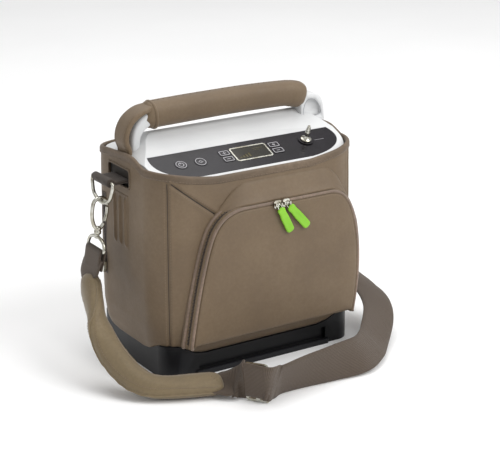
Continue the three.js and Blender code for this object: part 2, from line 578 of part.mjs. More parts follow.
function buildInside() {
  addPart('inner_housing_front', toGeometry(buildInnerHousing(true)), GREY);
  addPart('inner_housing_rear', toGeometry(buildInnerHousing(false)), GREY);
  addPart('compressor', toGeometry(buildCompressor()), SILVER);
  [['left', -92], ['right', 92]].forEach(([side, x]) => addPart(`sieve_bed_${side}`, toGeometry(joinAll([
    rodSolid([x, -20, 14], [0, 0, 1], 172, 21, 16), rodSolid([x, -20, 12], [0, 0, 1], 8, 23.5, 16),
    rodSolid([x, -20, 180], [0, 0, 1], 8, 23.5, 16)])), SILVER));
  addPart('product_tank', toGeometry(rodSolid([-55, 8, 112], [1, 0, 0], 110, 15, 20)), WHITE);
  addPart('valve_manifold', toGeometry(joinAll([boxSolid(-60, 60, -34, -12, 150, 166),
    ...[-40, -14, 14, 40].map((x) => rodSolid([x, -23, 165], [0, 0, 1], 20, 8, 14))])), SILVER);
  addPart('main_board', toGeometry(joinAll([boxSolid(-60, 60, -66, -64.4, 60, 190),
    boxSolid(-30, -6, -64.6, -58, 120, 144), boxSolid(12, 40, -64.6, -60, 96, 112),
    boxSolid(-50, -36, -64.6, -54, 168, 184)])), BOARD);
  const fanX = (VENT.x0 + VENT.x1) / 2;
  const fanZ = (VENT.z0 + VENT.z1) / 2;
  addPart('fan_housing', toGeometry(buildFanHousing(fanX, fanZ, 48)), BLACK);
  addPart('fan_impeller', toGeometry(buildImpeller(fanX, fanZ, 51)), GREY);
  addPart('intake_filter', toGeometry(joinAll([
    boxSolid(-VENT.x1 + 1, -VENT.x0 - 1, 66, 79, VENT.z0 + 1, VENT.z1 - 1),
    boxSolid(-fanX - 8, -fanX + 8, 78.5, 85.5, fanZ - 2, fanZ + 2)])), RUBBER);
  const grip = boxSolid(-24, 24, BATTERY.y0 + 9, BATTERY.y1 - 9, BATTERY.highZ - 11, BATTERY.highZ + 1);
  addPart('battery_pack', toGeometry(boxSolid(-BATTERY.halfX, BATTERY.halfX, BATTERY.y0, BATTERY.y1,
    BATTERY.lowZ, BATTERY.highZ).subtract(grip).add(boxSolid(-24.5, 24.5, 50, 56, BATTERY.highZ - 5,
    BATTERY.highZ - 1))), BLACK);
  addPart('dc_inlet', toGeometry(rodSolid([INLET.x, 62, INLET.z], [0, 1, 0], 12.4, INLET.radius, 16).subtract(
    rodSolid([INLET.x, 66, INLET.z], [0, 1, 0], 12, 3.3, 12))), BLACK);
}

// ---------- rings, hooks and strap ----------
function buildAnchor() {
  const loop = rodSolid([RING.x, RING.y - 19, RING.z], [0, 1, 0], 38, 5.2, 16)
    .subtract(rodSolid([RING.x, RING.y - 25, RING.z], [0, 1, 0], 50, RING.wire + 0.25, 16));
  const web = boxSolid(RING.x + 3.6, -CASE.halfX + 3.9, RING.y - 19, RING.y + 19, RING.z - 1.6, RING.z + 1.6);
  return loop.add(web);
}

function buildRing() {
  const { x, y, z, halfWidth, lowX, lowZ } = RING;
  const arm = (z - lowZ) * 0.55;
  const bend = [-1, 1].map((side) => side * halfWidth);
  const points = [[x, y + bend[0] + 3, z], [x, y, z], [x, y + bend[1] - 3, z], [x - 0.3, y + bend[1], z - 3],
    [x - 1.2, y + bend[1] - 1, z - arm * 0.7], [x - 2.2, y + bend[1] * 0.72, z - arm * 1.45],
    [lowX, y, lowZ], [x - 2.2, y + bend[0] * 0.72, z - arm * 1.45], [x - 1.2, y + bend[0] + 1, z - arm * 0.7],
    [x - 0.3, y + bend[0], z - 3]];
  return wireRing(points, RING.wire, 32);
}

// The hook is drawn upright in X and Z round its own top, then leans out to follow the strap.
const hookPlace = new THREE.Matrix4().makeTranslation(HOOK.x, HOOK.y, HOOK.topZ)
  .multiply(new THREE.Matrix4().makeRotationY(HOOK.lean));
const GATE = { low: -30, high: -12 };

function hookLoop() {
  const { halfWidth: w, length } = HOOK;
  const points = [[0, 0, -2], [w * 0.82, 0, -6], [w, 0, -17], [w * 0.85, 0, -28], [w * 0.35, 0, -length + 4],
    [-w * 0.35, 0, -length + 4], [-w * 0.85, 0, -28], [-w, 0, -17], [-w * 0.82, 0, -6]];
  return wireRing(points, HOOK.wire, 28);
}

function buildHook() {
  const gateRoom = boxSolid(0, 20, -4, 4, GATE.low - 0.9, GATE.high + GAP);
  const barrel = rodSolid([0, 0, -HOOK.length - 3], [0, 0, 1], 8, 4.4, 12);
  return moved(hookLoop().subtract(gateRoom).add(barrel), hookPlace);
}

function buildGate() {
  const side = boxSolid(0, 20, -4, 4, GATE.low, GATE.high);
  return moved(hookLoop().intersect(side), hookPlace);
}

function buildEye() {
  const top = -HOOK.length - 3 - GAP;
  const half = WEB.width / 2 - 4;
  const points = [[0, 0, top - 3], [0, half * 0.8, top - 6], [0, half + 2, top - 13],
    [0, half, top - 18], [0, 0, top - 19], [0, -half, top - 18], [0, -half - 2, top - 13],
    [0, -half * 0.8, top - 6]];
  const loop = wireRing(points, 2, 26);
  const stem = rodSolid([0, 0, top - 5], [0, 0, 1], 5, 3, 10);
  return moved(loop.add(stem), hookPlace);
}

// The strap's eye bar sits in the middle of the webbing's fold.
const eyeBar = new THREE.Vector3(0, 0, -HOOK.length - 22 - GAP).applyMatrix4(hookPlace);

const UPPER_WEB = [[eyeBar.x - 0.6, eyeBar.y + 0.5, eyeBar.z - 6, 0.05, 1, 0],
  [-172.5, 10.5, 127, 0.05, 1, 0], [-174, 11.4, 123.5, 0.05, 1, 0]];

const PAD_ROUTE = [
  [-176, 12.4, 114.5, 0.05, 1, 0], [-178.5, 8, 103, 0.1, 1, 0.1], [-183, -7, 90, 0.15, 0.9, 0.3],
  [-188, -28, 70, 0.3, 0.8, 0.45], [-189, -47, 54, 0.45, 0.65, 0.55], [-186, -67, 39, 0.6, 0.5, 0.55],
  [-178, -87, 25, 0.75, 0.45, 0.45], [-164, -103, 15.5, 0.8, 0.5, 0.28], [-146, -114, 12, 0.65, 0.72, 0.2],
  [-126, -124, 11.5, 0.45, 0.87, 0.2], [-105, -133, 11.5, 0.3, 0.92, 0.2], [-88, -140, 12, 0.35, 0.9, 0.25]];

const LOWER_WEB = [[-80.2, -143.4, 13.4, 0.36, 0.9, 0.3], [-77.6, -146.6, 15.4, 0.6, 0.6, 0.6],
  [-76.9, -154.5, 21.2, 0.4, 0, 0.9], [-76.6, -161, 22.3, -0.1, -0.1, 1]];

const LONG_WEB = [
  [-54, -182.8, 20.6, -0.25, -0.38, 0.88],
  [-36, -181.5, 21.7, -0.2, -0.3, 0.93], [-8, -179, 22.3, -0.15, -0.15, 0.98],
  [36, -177, 22.5, -0.22, 0.12, 0.96], [76, -173, 22.3, -0.35, 0.42, 0.84],
  [101, -158, 22.6, -0.55, 0.4, 0.72],
  [121, -138, 23, -0.7, 0.3, 0.62], [152, -104, 31, -0.93, 0, 0.35], [168, -76, 38, -0.95, -0.1, 0.2],
  [176, -42, 47, -0.75, -0.5, 0.1], [176, -16, 66, -0.35, -0.9, 0], [175, 2, 95, -0.08, -1, 0],
  [172.5, 10, 122, -0.05, -1, 0], [-eyeBar.x + 0.4, eyeBar.y, eyeBar.z - 4, -0.05, -1, 0]];

const webSection = () => flatSection(WEB.width, WEB.thickness);

function padSection(t) {
  const end = Math.min(t, 1 - t) / 0.09;
  const fullness = end < 1 ? 0.2 + 0.8 * Math.sqrt(1 - (1 - end) ** 2) : 1;
  return ovalSection(PAD.width * (0.25 + 0.75 * fullness), PAD.thickness * fullness, 12);
}

function buildTriGlide() {
  const along = new THREE.Vector3(0.58, -0.81, 0.02).normalize();
  const across = new THREE.Vector3(-0.12, -0.06, 1);
  across.addScaledVector(along, -across.dot(along)).normalize();
  const place = new THREE.Matrix4().makeBasis(along, across, along.clone().cross(across));
  place.setPosition(-70.3, -179.4, 24.6);
  const frame = extrudeZ(roundedOutline(-14, 14, -24, 24, 4), -1.4, 1.4, 4);
  const windows = [[-11, -2.2], [2.2, 11]].map(([a, b]) => boxSolid(a, b, -21.4, 21.4, -3, 3));
  return moved(cutAll(frame, windows), place);
}

function buildCarrying() {
  [['left', (solid) => solid], ['right', mirrored]].forEach(([side, flip]) => {
    addPart(`ring_anchor_${side}`, toGeometry(flip(buildAnchor())), FABRIC_DARK);
    addPart(`d_ring_${side}`, toGeometry(flip(buildRing())), SILVER);
    addPart(`snap_hook_${side}`, toGeometry(flip(buildHook())), SILVER);
    addPart(`hook_gate_${side}`, toGeometry(flip(buildGate())), SILVER);
    addPart(`swivel_eye_${side}`, toGeometry(flip(buildEye())), SILVER);
  });
  addPart('strap_upper', toGeometry(sweep(UPPER_WEB, 4, webSection)), WEBBING);
  addPart('shoulder_pad', toGeometry(sweep(PAD_ROUTE, 30, padSection)), FABRIC);
  addPart('strap_lower', toGeometry(sweep(LOWER_WEB, 12, webSection)), WEBBING);
  addPart('tri_glide', toGeometry(buildTriGlide()), SILVER);
  addPart('strap_long', toGeometry(sweep(LONG_WEB, 56, webSection)), WEBBING);
}

buildCase();
buildPocket();
buildDeviceTop();
buildInside();
buildCarrying();

export default root;
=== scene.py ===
import math
import bmesh
import bpy
from mathutils import Matrix, Vector, noise
from mathutils.bvhtree import BVHTree


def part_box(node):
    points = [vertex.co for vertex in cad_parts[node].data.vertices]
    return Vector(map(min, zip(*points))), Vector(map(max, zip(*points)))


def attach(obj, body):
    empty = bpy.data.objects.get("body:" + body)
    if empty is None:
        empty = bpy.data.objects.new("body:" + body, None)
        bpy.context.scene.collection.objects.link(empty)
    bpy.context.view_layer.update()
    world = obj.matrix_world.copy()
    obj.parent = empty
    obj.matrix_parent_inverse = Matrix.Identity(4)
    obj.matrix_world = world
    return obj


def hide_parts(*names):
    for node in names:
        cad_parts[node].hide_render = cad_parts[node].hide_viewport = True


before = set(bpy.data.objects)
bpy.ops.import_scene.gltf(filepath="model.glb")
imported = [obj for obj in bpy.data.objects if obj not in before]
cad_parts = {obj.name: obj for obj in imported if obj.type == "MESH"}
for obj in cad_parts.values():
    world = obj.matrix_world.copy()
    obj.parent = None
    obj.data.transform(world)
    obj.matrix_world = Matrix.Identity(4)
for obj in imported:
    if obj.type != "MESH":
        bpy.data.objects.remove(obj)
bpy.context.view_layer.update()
scene = bpy.context.scene

# Lengths below are millimetres until a mesh is made.
CORNER = 40                     # plan radius of the case
RIM = [(-110, 236), (-85, 236), (-70, 237.8), (-45, 246), (-24, 254.2), (-10, 255),
       (40, 251), (83, 245), (110, 245)]
RIM_RISE = [(0, 236), (62, 236), (80, 238.5), (97, 241.5), (112, 244.5), (135, 247), (160, 247)]
BINDING = 9
STITCH = 3.4                    # from one stitch to the next
POCKET_FRONT, POCKET_LOW, POCKET_TOP = -99, 44, 195.5
TILT = math.atan(0.4)           # slope of the control panel
PANEL_Y = -52.5
GRIP_Y = 8
WEB_WIDTH = 42


CASE_LOW, CASE_HIGH = (corner * 1000 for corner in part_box("bag_shell"))


# ---------- materials ----------
def srgb(colour):
    """A colour given from 0 to 255, as linear light."""
    shares = [c / 255 for c in colour]
    return (*[((c + 0.055) / 1.055) ** 2.4 if c > 0.04 else c / 12.92 for c in shares], 1)


class Look:
    """A procedural material on the Principled shader."""

    def __init__(self, name, **values):
        self.material = bpy.data.materials.new(name)
        self.material.use_nodes = True
        self.tree = self.material.node_tree
        self.shader = self.tree.nodes["Principled BSDF"]
        coords = self.add("ShaderNodeTexCoord")
        self.place, self.uv = coords.outputs["Object"], coords.outputs["UV"]
        for key, value in values.items():
            self.shader.inputs[key.replace("_", " ")].default_value = value

    def add(self, kind, inputs=None, **settings):
        node = self.tree.nodes.new(kind)
        for key, value in settings.items():
            setattr(node, key, value)
        for key, value in (inputs or {}).items():
            if isinstance(value, bpy.types.NodeSocket):
                self.tree.links.new(value, node.inputs[key])
            else:
                node.inputs[key].default_value = value
        return node

    def noise(self, scale, detail=3, source=None):
        return self.add("ShaderNodeTexNoise", {
            "Vector": source or self.place, "Scale": scale, "Detail": detail}).outputs[0]

    def cells(self, scale):
        return self.add("ShaderNodeTexVoronoi", {"Vector": self.place, "Scale": scale}).outputs[0]

    def bands(self, direction, pitch, source=None, distortion=0.0):
        """Smooth bands across one axis, `pitch` metres apart."""
        return self.add("ShaderNodeTexWave", {
            "Vector": source or self.uv, "Scale": 0.314159 / pitch, "Distortion": distortion,
            "Detail Scale": 40}, bands_direction=direction).outputs["Fac"]

    def math(self, operation, a, b=0.0):
        return self.add("ShaderNodeMath", {0: a, 1: b}, operation=operation).outputs[0]

    def ramp(self, source, *stops):
        node = self.add("ShaderNodeValToRGB", {"Fac": source})
        elements = node.color_ramp.elements
        while len(elements) < len(stops):
            elements.new(0.5)
        for element, (position, colour) in zip(elements, stops):
            element.position, element.color = position, srgb(colour)
        return node.outputs[0]

    def blend(self, amount, source, colour):
        return self.add("ShaderNodeMix", {0: amount, 6: source, 7: srgb(colour)}, data_type="RGBA").outputs[2]

    def edges(self, low=0.5, high=0.58):
        """1 on worn convex edges, 0 elsewhere."""
        point = self.add("ShaderNodeNewGeometry").outputs["Pointiness"]
        return self.add("ShaderNodeMapRange", {0: point, 1: low, 2: high}).outputs[0]

    def set(self, key, source):
        self.tree.links.new(source, self.shader.inputs[key])

    def rough(self, source, low, high):
        self.set("Roughness", self.add("ShaderNodeMapRange", {0: source, 3: low, 4: high}).outputs[0])

    def bump(self, *layers):
        """Each layer is (height, strength, depth in millimetres); they stack."""
        normal = None
        for height, strength, depth in layers:
            inputs = {"Height": height, "Strength": strength, "Distance": depth / 1000}
            if normal:
                inputs["Normal"] = normal
            normal = self.add("ShaderNodeBump", inputs).outputs[0]
        self.set("Normal", normal)


def soft_laminate(name, base, light, dark, sheen=0.12):
    """Smooth soft-touch case fabric with a fine pebble grain."""
    look = Look(name, Sheen_Weight=sheen, Sheen_Roughness=0.5)
    broad, fine = look.noise(14, 4), look.noise(320, 3)
    mottle = look.math("ADD", look.math("MULTIPLY", broad, 0.65), look.math("MULTIPLY", fine, 0.35))
    body = look.ramp(mottle, (0.3, dark), (0.5, base), (0.7, light))
    look.set("Base Color", look.blend(look.math("MULTIPLY", look.edges(0.51, 0.6), 0.55), body, light))
    look.rough(look.noise(90, 4), 0.52, 0.72)
    look.bump((look.cells(1100), 0.25, 0.08), (look.noise(2400, 2), 0.25, 0.06), (broad, 0.2, 0.4))
    return look.material


def woven_webbing(name, base, light, dark):
    look = Look(name, Sheen_Weight=0.12, Sheen_Roughness=0.6)
    warp, weft = look.bands("X", 0.0017), look.bands("Y", 0.0012, distortion=0.4)
    weave = look.math("MULTIPLY", look.math("ADD", warp, 0.5), look.math("ADD", weft, 0.4))
    dirt = look.noise(22, 4)
    shade = look.ramp(weave, (0.1, dark), (0.75, base), (1.3, light))
    look.set("Base Color", look.blend(look.math("MULTIPLY", dirt, 0.55), shade, base))
    look.rough(weave, 0.9, 0.68)
    look.bump((weave, 0.8, 0.35), (look.noise(1800, 2), 0.3, 0.1))
    return look.material


def moulded(name, base, light, dark, smooth=0.3, spread=0.12, grain=0.04, coat=0.0, shine=0.5):
    """Moulded plastic: fine texture, a little paler where its edges are handled."""
    look = Look(name, Coat_Weight=coat, Coat_Roughness=0.12, Specular_IOR_Level=shine)
    broad = look.noise(18, 4)
    body = look.ramp(broad, (0.35, dark), (0.65, base))
    look.set("Base Color", look.blend(look.math("MULTIPLY", look.edges(0.52, 0.62), 0.6), body, light))
    look.rough(look.noise(60, 5), smooth, smooth + spread)
    look.bump((look.noise(1500, 3), 0.35, grain), (broad, 0.25, 0.25))
    return look.material


def plated(name, base, dark, smooth=0.16):
    """Nickel plate with faint drawn scratches."""
    look = Look(name, Metallic=1.0)
    drawn = look.add("ShaderNodeMapping", {"Vector": look.place, "Scale": (1, 1, 9)}).outputs[0]
    scratch = look.noise(240, 4, drawn)
    look.set("Base Color", look.ramp(look.noise(130, 3), (0.35, dark), (0.6, base)))
    look.rough(scratch, smooth, smooth + 0.16)
    look.bump((scratch, 0.12, 0.03), (look.noise(90, 2), 0.15, 0.1))
    return look.material


def glossy_overlay(name, base, tint):
    look = Look(name, Coat_Weight=0.12, Coat_Roughness=0.05, Specular_IOR_Level=0.22)
    look.set("Base Color", look.ramp(look.noise(40, 3), (0.35, base), (0.7, tint)))
    look.rough(look.noise(75, 5), 0.16, 0.3)
    look.bump((look.noise(30, 2), 0.12, 0.05))
    return look.material


def lcd_glass(name):
    """Dark reflective display whose fine pixel grid only just shows."""
    look = Look(name, Coat_Weight=0.12, Coat_Roughness=0.04, Specular_IOR_Level=0.25)
    grid = look.math("MAXIMUM", look.bands("X", 0.0009, look.place), look.bands("Y", 0.0009, look.place))
    look.set("Base Color", look.ramp(look.math("MULTIPLY", grid, look.noise(60, 2)),
                                     (0.2, (17, 14, 6)), (0.75, (44, 38, 20))))
    look.rough(look.noise(120, 3), 0.18, 0.28)
    look.bump((grid, 0.1, 0.02))
    return look.material


def open_foam(name):
    look = Look(name)
    pores = look.cells(700)
    look.set("Base Color", look.ramp(pores, (0.1, (12, 12, 13)), (0.7, (62, 62, 64))))
    look.rough(pores, 0.95, 0.8)
    look.bump((pores, 0.9, 0.8))
    return look.material


FABRIC = soft_laminate("case_fabric_look", (105, 87, 65), (114, 96, 73), (97, 80, 60))
TRIM = soft_laminate("trim_fabric_look", (92, 76, 58), (112, 94, 74), (80, 66, 50))
SEAM_SHADE = soft_laminate("seam_shade_look", (44, 36, 28), (58, 48, 38), (34, 28, 22))
PIPING = soft_laminate("piping_look", (106, 88, 73), (146, 124, 108), (84, 70, 56), 0.4)
PAD = soft_laminate("pad_fabric_look", (112, 96, 68), (124, 108, 80), (100, 86, 61), 0.3)
DARK_TAPE = woven_webbing("zip_tape_look", (70, 58, 48), (92, 78, 66), (44, 36, 30))
WEBBING = woven_webbing("webbing_look", (73, 59, 46), (95, 80, 65), (49, 39, 30))
THREAD = moulded("thread_look", (118, 102, 84), (136, 119, 100), (98, 84, 68), 0.7)
TEETH = moulded("zip_teeth_look", (60, 50, 43), (104, 90, 78), (38, 31, 27), 0.35)
BLACK = moulded("base_plastic_look", (10, 10, 12), (44, 44, 48), (7, 7, 9), 0.26, 0.14, 0.05, 0.05, 0.22)
MATT_BLACK = moulded("black_plastic_look", (16, 16, 18), (48, 48, 50), (11, 11, 13), 0.45, shine=0.3)
WHITE = moulded("white_plastic_look", (212, 213, 213), (224, 225, 225), (204, 205, 206), 0.3, 0.1, 0.02,
                shine=0.3)
GREY = moulded("inner_plastic_look", (150, 152, 156), (190, 192, 196), (128, 130, 134), 0.45)
BOARD = moulded("board_look", (30, 98, 60), (96, 150, 110), (20, 74, 46), 0.4)
GREEN = moulded("pull_rubber_look", (142, 205, 45), (182, 228, 92), (120, 184, 30), 0.36, grain=0.05)
MARK = moulded("panel_mark_look", (176, 174, 178), (200, 198, 202), (156, 154, 158), 0.4)
SCREEN_MARK = moulded("screen_mark_look", (74, 66, 38), (96, 88, 56), (58, 52, 28), 0.4)
METAL = plated("metal_look", (206, 205, 196), (168, 163, 148))
ALLOY = plated("alloy_look", (196, 198, 202), (150, 152, 158), 0.34)
PANEL = glossy_overlay("panel_gloss_look", (21, 18, 22), (28, 24, 30))
KEYCAP = glossy_overlay("key_gloss_look", (24, 21, 26), (32, 28, 34))
SCREEN = lcd_glass("screen_look")
FOAM = open_foam("foam_look")


# ---------- meshes ----------
def bare(name, points, faces):
    """An object from points in millimetres."""
    mesh = bpy.data.meshes.new(name)
    mesh.from_pydata([Vector(p) * 0.001 for p in points], [], faces)
    piece = bpy.data.objects.new(name, mesh)
    scene.collection.objects.link(piece)
    return piece


def smoothed(mesh):
    mesh.polygons.foreach_set("use_smooth", [True] * len(mesh.polygons))


def make(name, shape, look, stands_for=(), body="case", uvs=None):
    """A piece from a shape's points and faces. uvs are metres, one pair for each point."""
    piece = bare(name, *shape)
    mesh = piece.data
    if uvs:
        layer = mesh.uv_layers.new(name="UVMap")
        for loop in mesh.loops:
            layer.data[loop.index].uv = uvs[loop.vertex_index]
    smoothed(mesh)
    mesh.update()
    mesh.materials.append(look)
    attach(piece, body)
    if stands_for:
        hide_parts(*stands_for)
    return piece


def inside_out(shape):
    points, faces = shape
    return points, [tuple(reversed(face)) for face in faces]


def thickened(piece, width, offset=0):
    wall = piece.modifiers.new("wall", "SOLIDIFY")
    wall.thickness, wall.offset = width / 1000, offset
    return piece


def skin(rows, around=True, looped=False):
    """Points and faces over rows of points. A row may be a closed ring, and the rows a closed loop."""
    count = len(rows[0])
    points = [p for row in rows for p in row]
    faces = []
    for i in range(len(rows) if looped else len(rows) - 1):
        a, b = i * count, ((i + 1) % len(rows)) * count
        for j in range(count if around else count - 1):
            k = (j + 1) % count
            faces.append((a + j, a + k, b + k, b + j))
    if around and not looped:
        faces.append(tuple(reversed(range(count))))
        faces.append(tuple((len(rows) - 1) * count + j for j in range(count)))
    return points, faces


def merged(*parts):
    points, faces = [], []
    for part_points, part_faces in parts:
        start = len(points)
        points += part_points
        faces += [tuple(start + i for i in face) for face in part_faces]
    return points, faces


def outward(piece):
    """Turns every face of the piece outwards."""
    mesh = bmesh.new()
    mesh.from_mesh(piece.data)
    bmesh.ops.recalc_face_normals(mesh, faces=mesh.faces)
    mesh.to_mesh(piece.data)
    mesh.free()
    return piece


def bevelled(piece, width, segments=2, angle=35):
    bevel = piece.modifiers.new("edge", "BEVEL")
    bevel.width, bevel.segments = width / 1000, segments
    bevel.limit_method, bevel.angle_limit = "ANGLE", math.radians(angle)
    return piece


def subdivided(piece):
    divide = piece.modifiers.new("smooth", "SUBSURF")
    divide.levels = divide.render_levels = 1
    return piece


def carry(look, bevel, *names):
    """Gives CAD nodes their finish and breaks their sharp edges."""
    angle = 38
    for name in names:
        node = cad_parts[name]
        node.data.materials.clear()
        node.data.materials.append(look)
        smoothed(node.data)
        node.data.set_sharp_from_angle(angle=math.radians(angle))
        if bevel:
            bevelled(node, bevel, 2, angle)


# ---------- curves and turned shapes ----------
def circle(sides, radius=1.0):
    turns = [2 * math.pi * k / sides for k in range(sides)]
    return [(radius * math.cos(a), radius * math.sin(a)) for a in turns]


def smooth_at(points, t, closed=False):
    """The point at t, from 0 to 1, on a smooth curve through points of any dimension."""
    count = len(points)
    span = count if closed else count - 1
    place = min(max(t, 0), 1) * span
    i = min(int(place), span - 1)
    u = place - i

    def get(k):
        if closed:
            return points[k % count]
        if k < 0:
            return [2 * a - b for a, b in zip(points[0], points[1])]
        if k >= count:
            return [2 * a - b for a, b in zip(points[-1], points[-2])]
        return points[k]

    result = []
    for a, b, c, d in zip(get(i - 1), get(i), get(i + 1), get(i + 2)):
        m, n = (c - a) / 2, (d - b) / 2
        result.append(b + m * u + (3 * (c - b) - 2 * m - n) * u * u + (2 * (b - c) + m + n) * u ** 3)
    return result


def frames_along(stations, steps, start=0.0, end=1.0):
    """Frames of a band: each station is a point and the direction of the width."""
    frames = []
    for i in range(steps + 1):
        t = start + (end - start) * i / steps
        here = smooth_at(stations, t)
        ahead, behind = smooth_at(stations, t + 0.002), smooth_at(stations, t - 0.002)
        tangent = (Vector(ahead[:3]) - Vector(behind[:3])).normalized()
        across = Vector(here[3:])
        across = (across - tangent * across.dot(tangent)).normalized()
        frames.append((t, Vector(here[:3]), across, tangent.cross(across)))
    return frames


def sweep(frames, section):
    """Rings of the section's [across, face] points along the frames."""
    return [[p + across * a + face * b for a, b in section(t)] for t, p, across, face in frames]


def oval(width, height, sides=28, power=2.3):
    """A rounded section between an oval and a rectangle."""
    def part(value):
        return math.copysign(abs(value) ** (2 / power), value)
    return [(width / 2 * part(a), height / 2 * part(b)) for a, b in circle(sides)]


def band_section(width, thickness, across=8):
    """A flat woven band with soft edges."""
    half = width / 2
    top = [(half * (2 * i / across - 1), thickness / 2) for i in range(across + 1)]
    low = [(a, -b) for a, b in reversed(top)]
    return [(-half - thickness * 0.3, 0)] + top + [(half + thickness * 0.3, 0)] + low


def wire(points, radius, steps, sides=14, closed=True):
    """Rings of a round wire bent smoothly through the points."""
    points = [tuple(p) for p in points]
    centres = [Vector(smooth_at(points, i / steps, closed)) for i in range(steps if closed else steps + 1)]
    count = len(centres)
    normal = None
    rings = []
    for i, centre in enumerate(centres):
        ahead = centres[(i + 1) % count] if closed or i < count - 1 else centre
        behind = centres[i - 1] if closed or i else centre
        tangent = (ahead - behind).normalized()
        normal = normal or tangent.orthogonal()
        normal = (normal - tangent * normal.dot(tangent)).normalized()
        side = tangent.cross(normal)
        rings.append([centre + (normal * a + side * b) * radius for a, b in circle(sides)])
    if closed:
        # The last ring is turned to line up with the first.
        first, last = rings[0][0], rings[-1]
        shift = min(range(sides), key=lambda j: (last[j] - first).length)
        for i in range(count):
            turn = round(shift * i / (count - 1))
            rings[i] = rings[i][turn:] + rings[i][:turn]
    return rings


def rod(points, radius, steps, sides=14):
    """A closed shape of round wire with two ends."""
    return skin(wire(points, radius, steps, sides, closed=False))


def hoop(points, radius, steps, sides=14):
    """A closed loop of round wire."""
    return skin(wire(points, radius, steps, sides), looped=True)


def lathe(profile, matrix, sides=28):
    """A turned shape from (radius, height) pairs."""
    return skin([[matrix @ Vector((a, b, z)) for a, b in circle(sides, r)] for r, z in profile])


def capsules(spots, radius, length):
    """Short thread stitches: each spot is a middle point and a direction."""
    parts = []
    for middle, direction in spots:
        d = direction.normalized()
        n = d.orthogonal().normalized()
        side = d.cross(n)
        parts.append(skin([[middle + d * (length * along) + (n * a + side * b) * (radius * wide)
                            for a, b in circle(6)]
                           for along, wide in ((-0.5, 0.35), (-0.3, 1), (0.3, 1), (0.5, 0.35))]))
    return merged(*parts)


def stitches(name, spots, radius, length, body="case"):
    make(name, capsules(spots, radius, length), THREAD, body=body)


# ---------- case ----------
class Loop:
    """A rounded rectangle walked by arc length from the middle of its back, with outward normals."""

    def __init__(self, low, high, radius):
        (x0, y0), (x1, y1) = low, high
        half, side = (x1 - x0) / 2 - radius, (y1 - y0) - 2 * radius
        middle, arc = (x0 + x1) / 2, math.pi / 2 * radius
        self.radius = radius
        self.parts = [
            (half, (middle, y1), (-1, 0)), (arc, (x0 + radius, y1 - radius), math.pi / 2),
            (side, (x0, y1 - radius), (0, -1)), (arc, (x0 + radius, y0 + radius), math.pi),
            (2 * half, (x0 + radius, y0), (1, 0)), (arc, (x1 - radius, y0 + radius), 1.5 * math.pi),
            (side, (x1, y0 + radius), (0, 1)), (arc, (x1 - radius, y1 - radius), 0),
            (half, (x1 - radius, y1), (-1, 0))]
        self.length = sum(part[0] for part in self.parts)

    def at(self, s):
        """(x, y, normal x, normal y) at arc length s."""
        s %= self.length
        for length, origin, run in self.parts:
            if s <= length or origin is self.parts[-1][1]:
                break
            s -= length
        if isinstance(run, tuple):
            return origin[0] + run[0] * s, origin[1] + run[1] * s, run[1], -run[0]
        angle = run + s / self.radius
        nx, ny = math.cos(angle), math.sin(angle)
        return origin[0] + nx * self.radius, origin[1] + ny * self.radius, nx, ny

    def front(self, x):
        """Arc length of the point of the front, or a front corner, at x."""
        before = sum(part[0] for part in self.parts[:3])
        (cx, _), arc = self.parts[3][1], self.parts[3][0]
        if x < cx:
            return before + self.radius * (math.pi - math.acos((x - cx) / self.radius))
        right = self.parts[5][1][0]
        if x <= right:
            return before + arc + x - cx
        return before + arc + self.parts[4][0] + self.radius * math.asin((x - right) / self.radius)


CASE = Loop((CASE_LOW.x, CASE_LOW.y), (CASE_HIGH.x, CASE_HIGH.y), CORNER)


def stepwise(table, value):
    """Linear interpolation in a table of pairs."""
    for (a, p), (b, q) in zip(table, table[1:]):
        if value <= b:
            return p + (q - p) * (max(value, a) - a) / (b - a)
    return table[-1][1]


def smoothstep(value, low, high):
    t = min(max((value - low) / (high - low), 0), 1)
    return t * t * (3 - 2 * t)


def rim_z(x, y):
    """Top of the rim: it dips along the front and rises towards the corners."""
    steps = (-6, -3, 0, 3, 6)
    along = sum(stepwise(RIM, y + d) for d in steps) / 5
    across = sum(stepwise(RIM_RISE, abs(x + d)) for d in steps) / 5
    return max(along, across)


def tray_edge(x, y):
    """Top edge of the base tray, which rises at its corners."""
    front = stepwise([(0, 26), (78, 26), (92, 29), (112, 40), (200, 40)], abs(x))
    side = stepwise([(0, 28), (30, 28), (44, 31), (64, 40), (200, 40)], abs(y))
    return min(front, side)


def near_line(s, z, a, b):
    """Signed distance from a line between two (s, z) points."""
    ds, dz = b[0] - a[0], b[1] - a[1]
    length = math.hypot(ds, dz)
    along = ((s - a[0]) * ds + (z - a[1]) * dz) / length ** 2
    off = ((s - a[0]) * dz - (z - a[1]) * ds) / length
    beyond = max(0, -along, along - 1) * length
    return math.copysign(math.hypot(off, beyond), off)


SEAMS = [((CASE.front(-121.5), 245), (CASE.front(-121.5), 30)),
         ((CASE.front(121.5), 245), (CASE.front(121.5), 30)),
         ((CASE.front(-118), 234), (CASE.front(-60), 188)),
         ((0, 260), (0, 30))]


def groove(distance):
    """The dip of a sewn seam and the soft roll on both sides of it."""
    d = abs(distance)
    return -2.0 * math.exp(-(d / 1.4) ** 2) + 0.8 * math.exp(-((d - 4) / 2.4) ** 2)


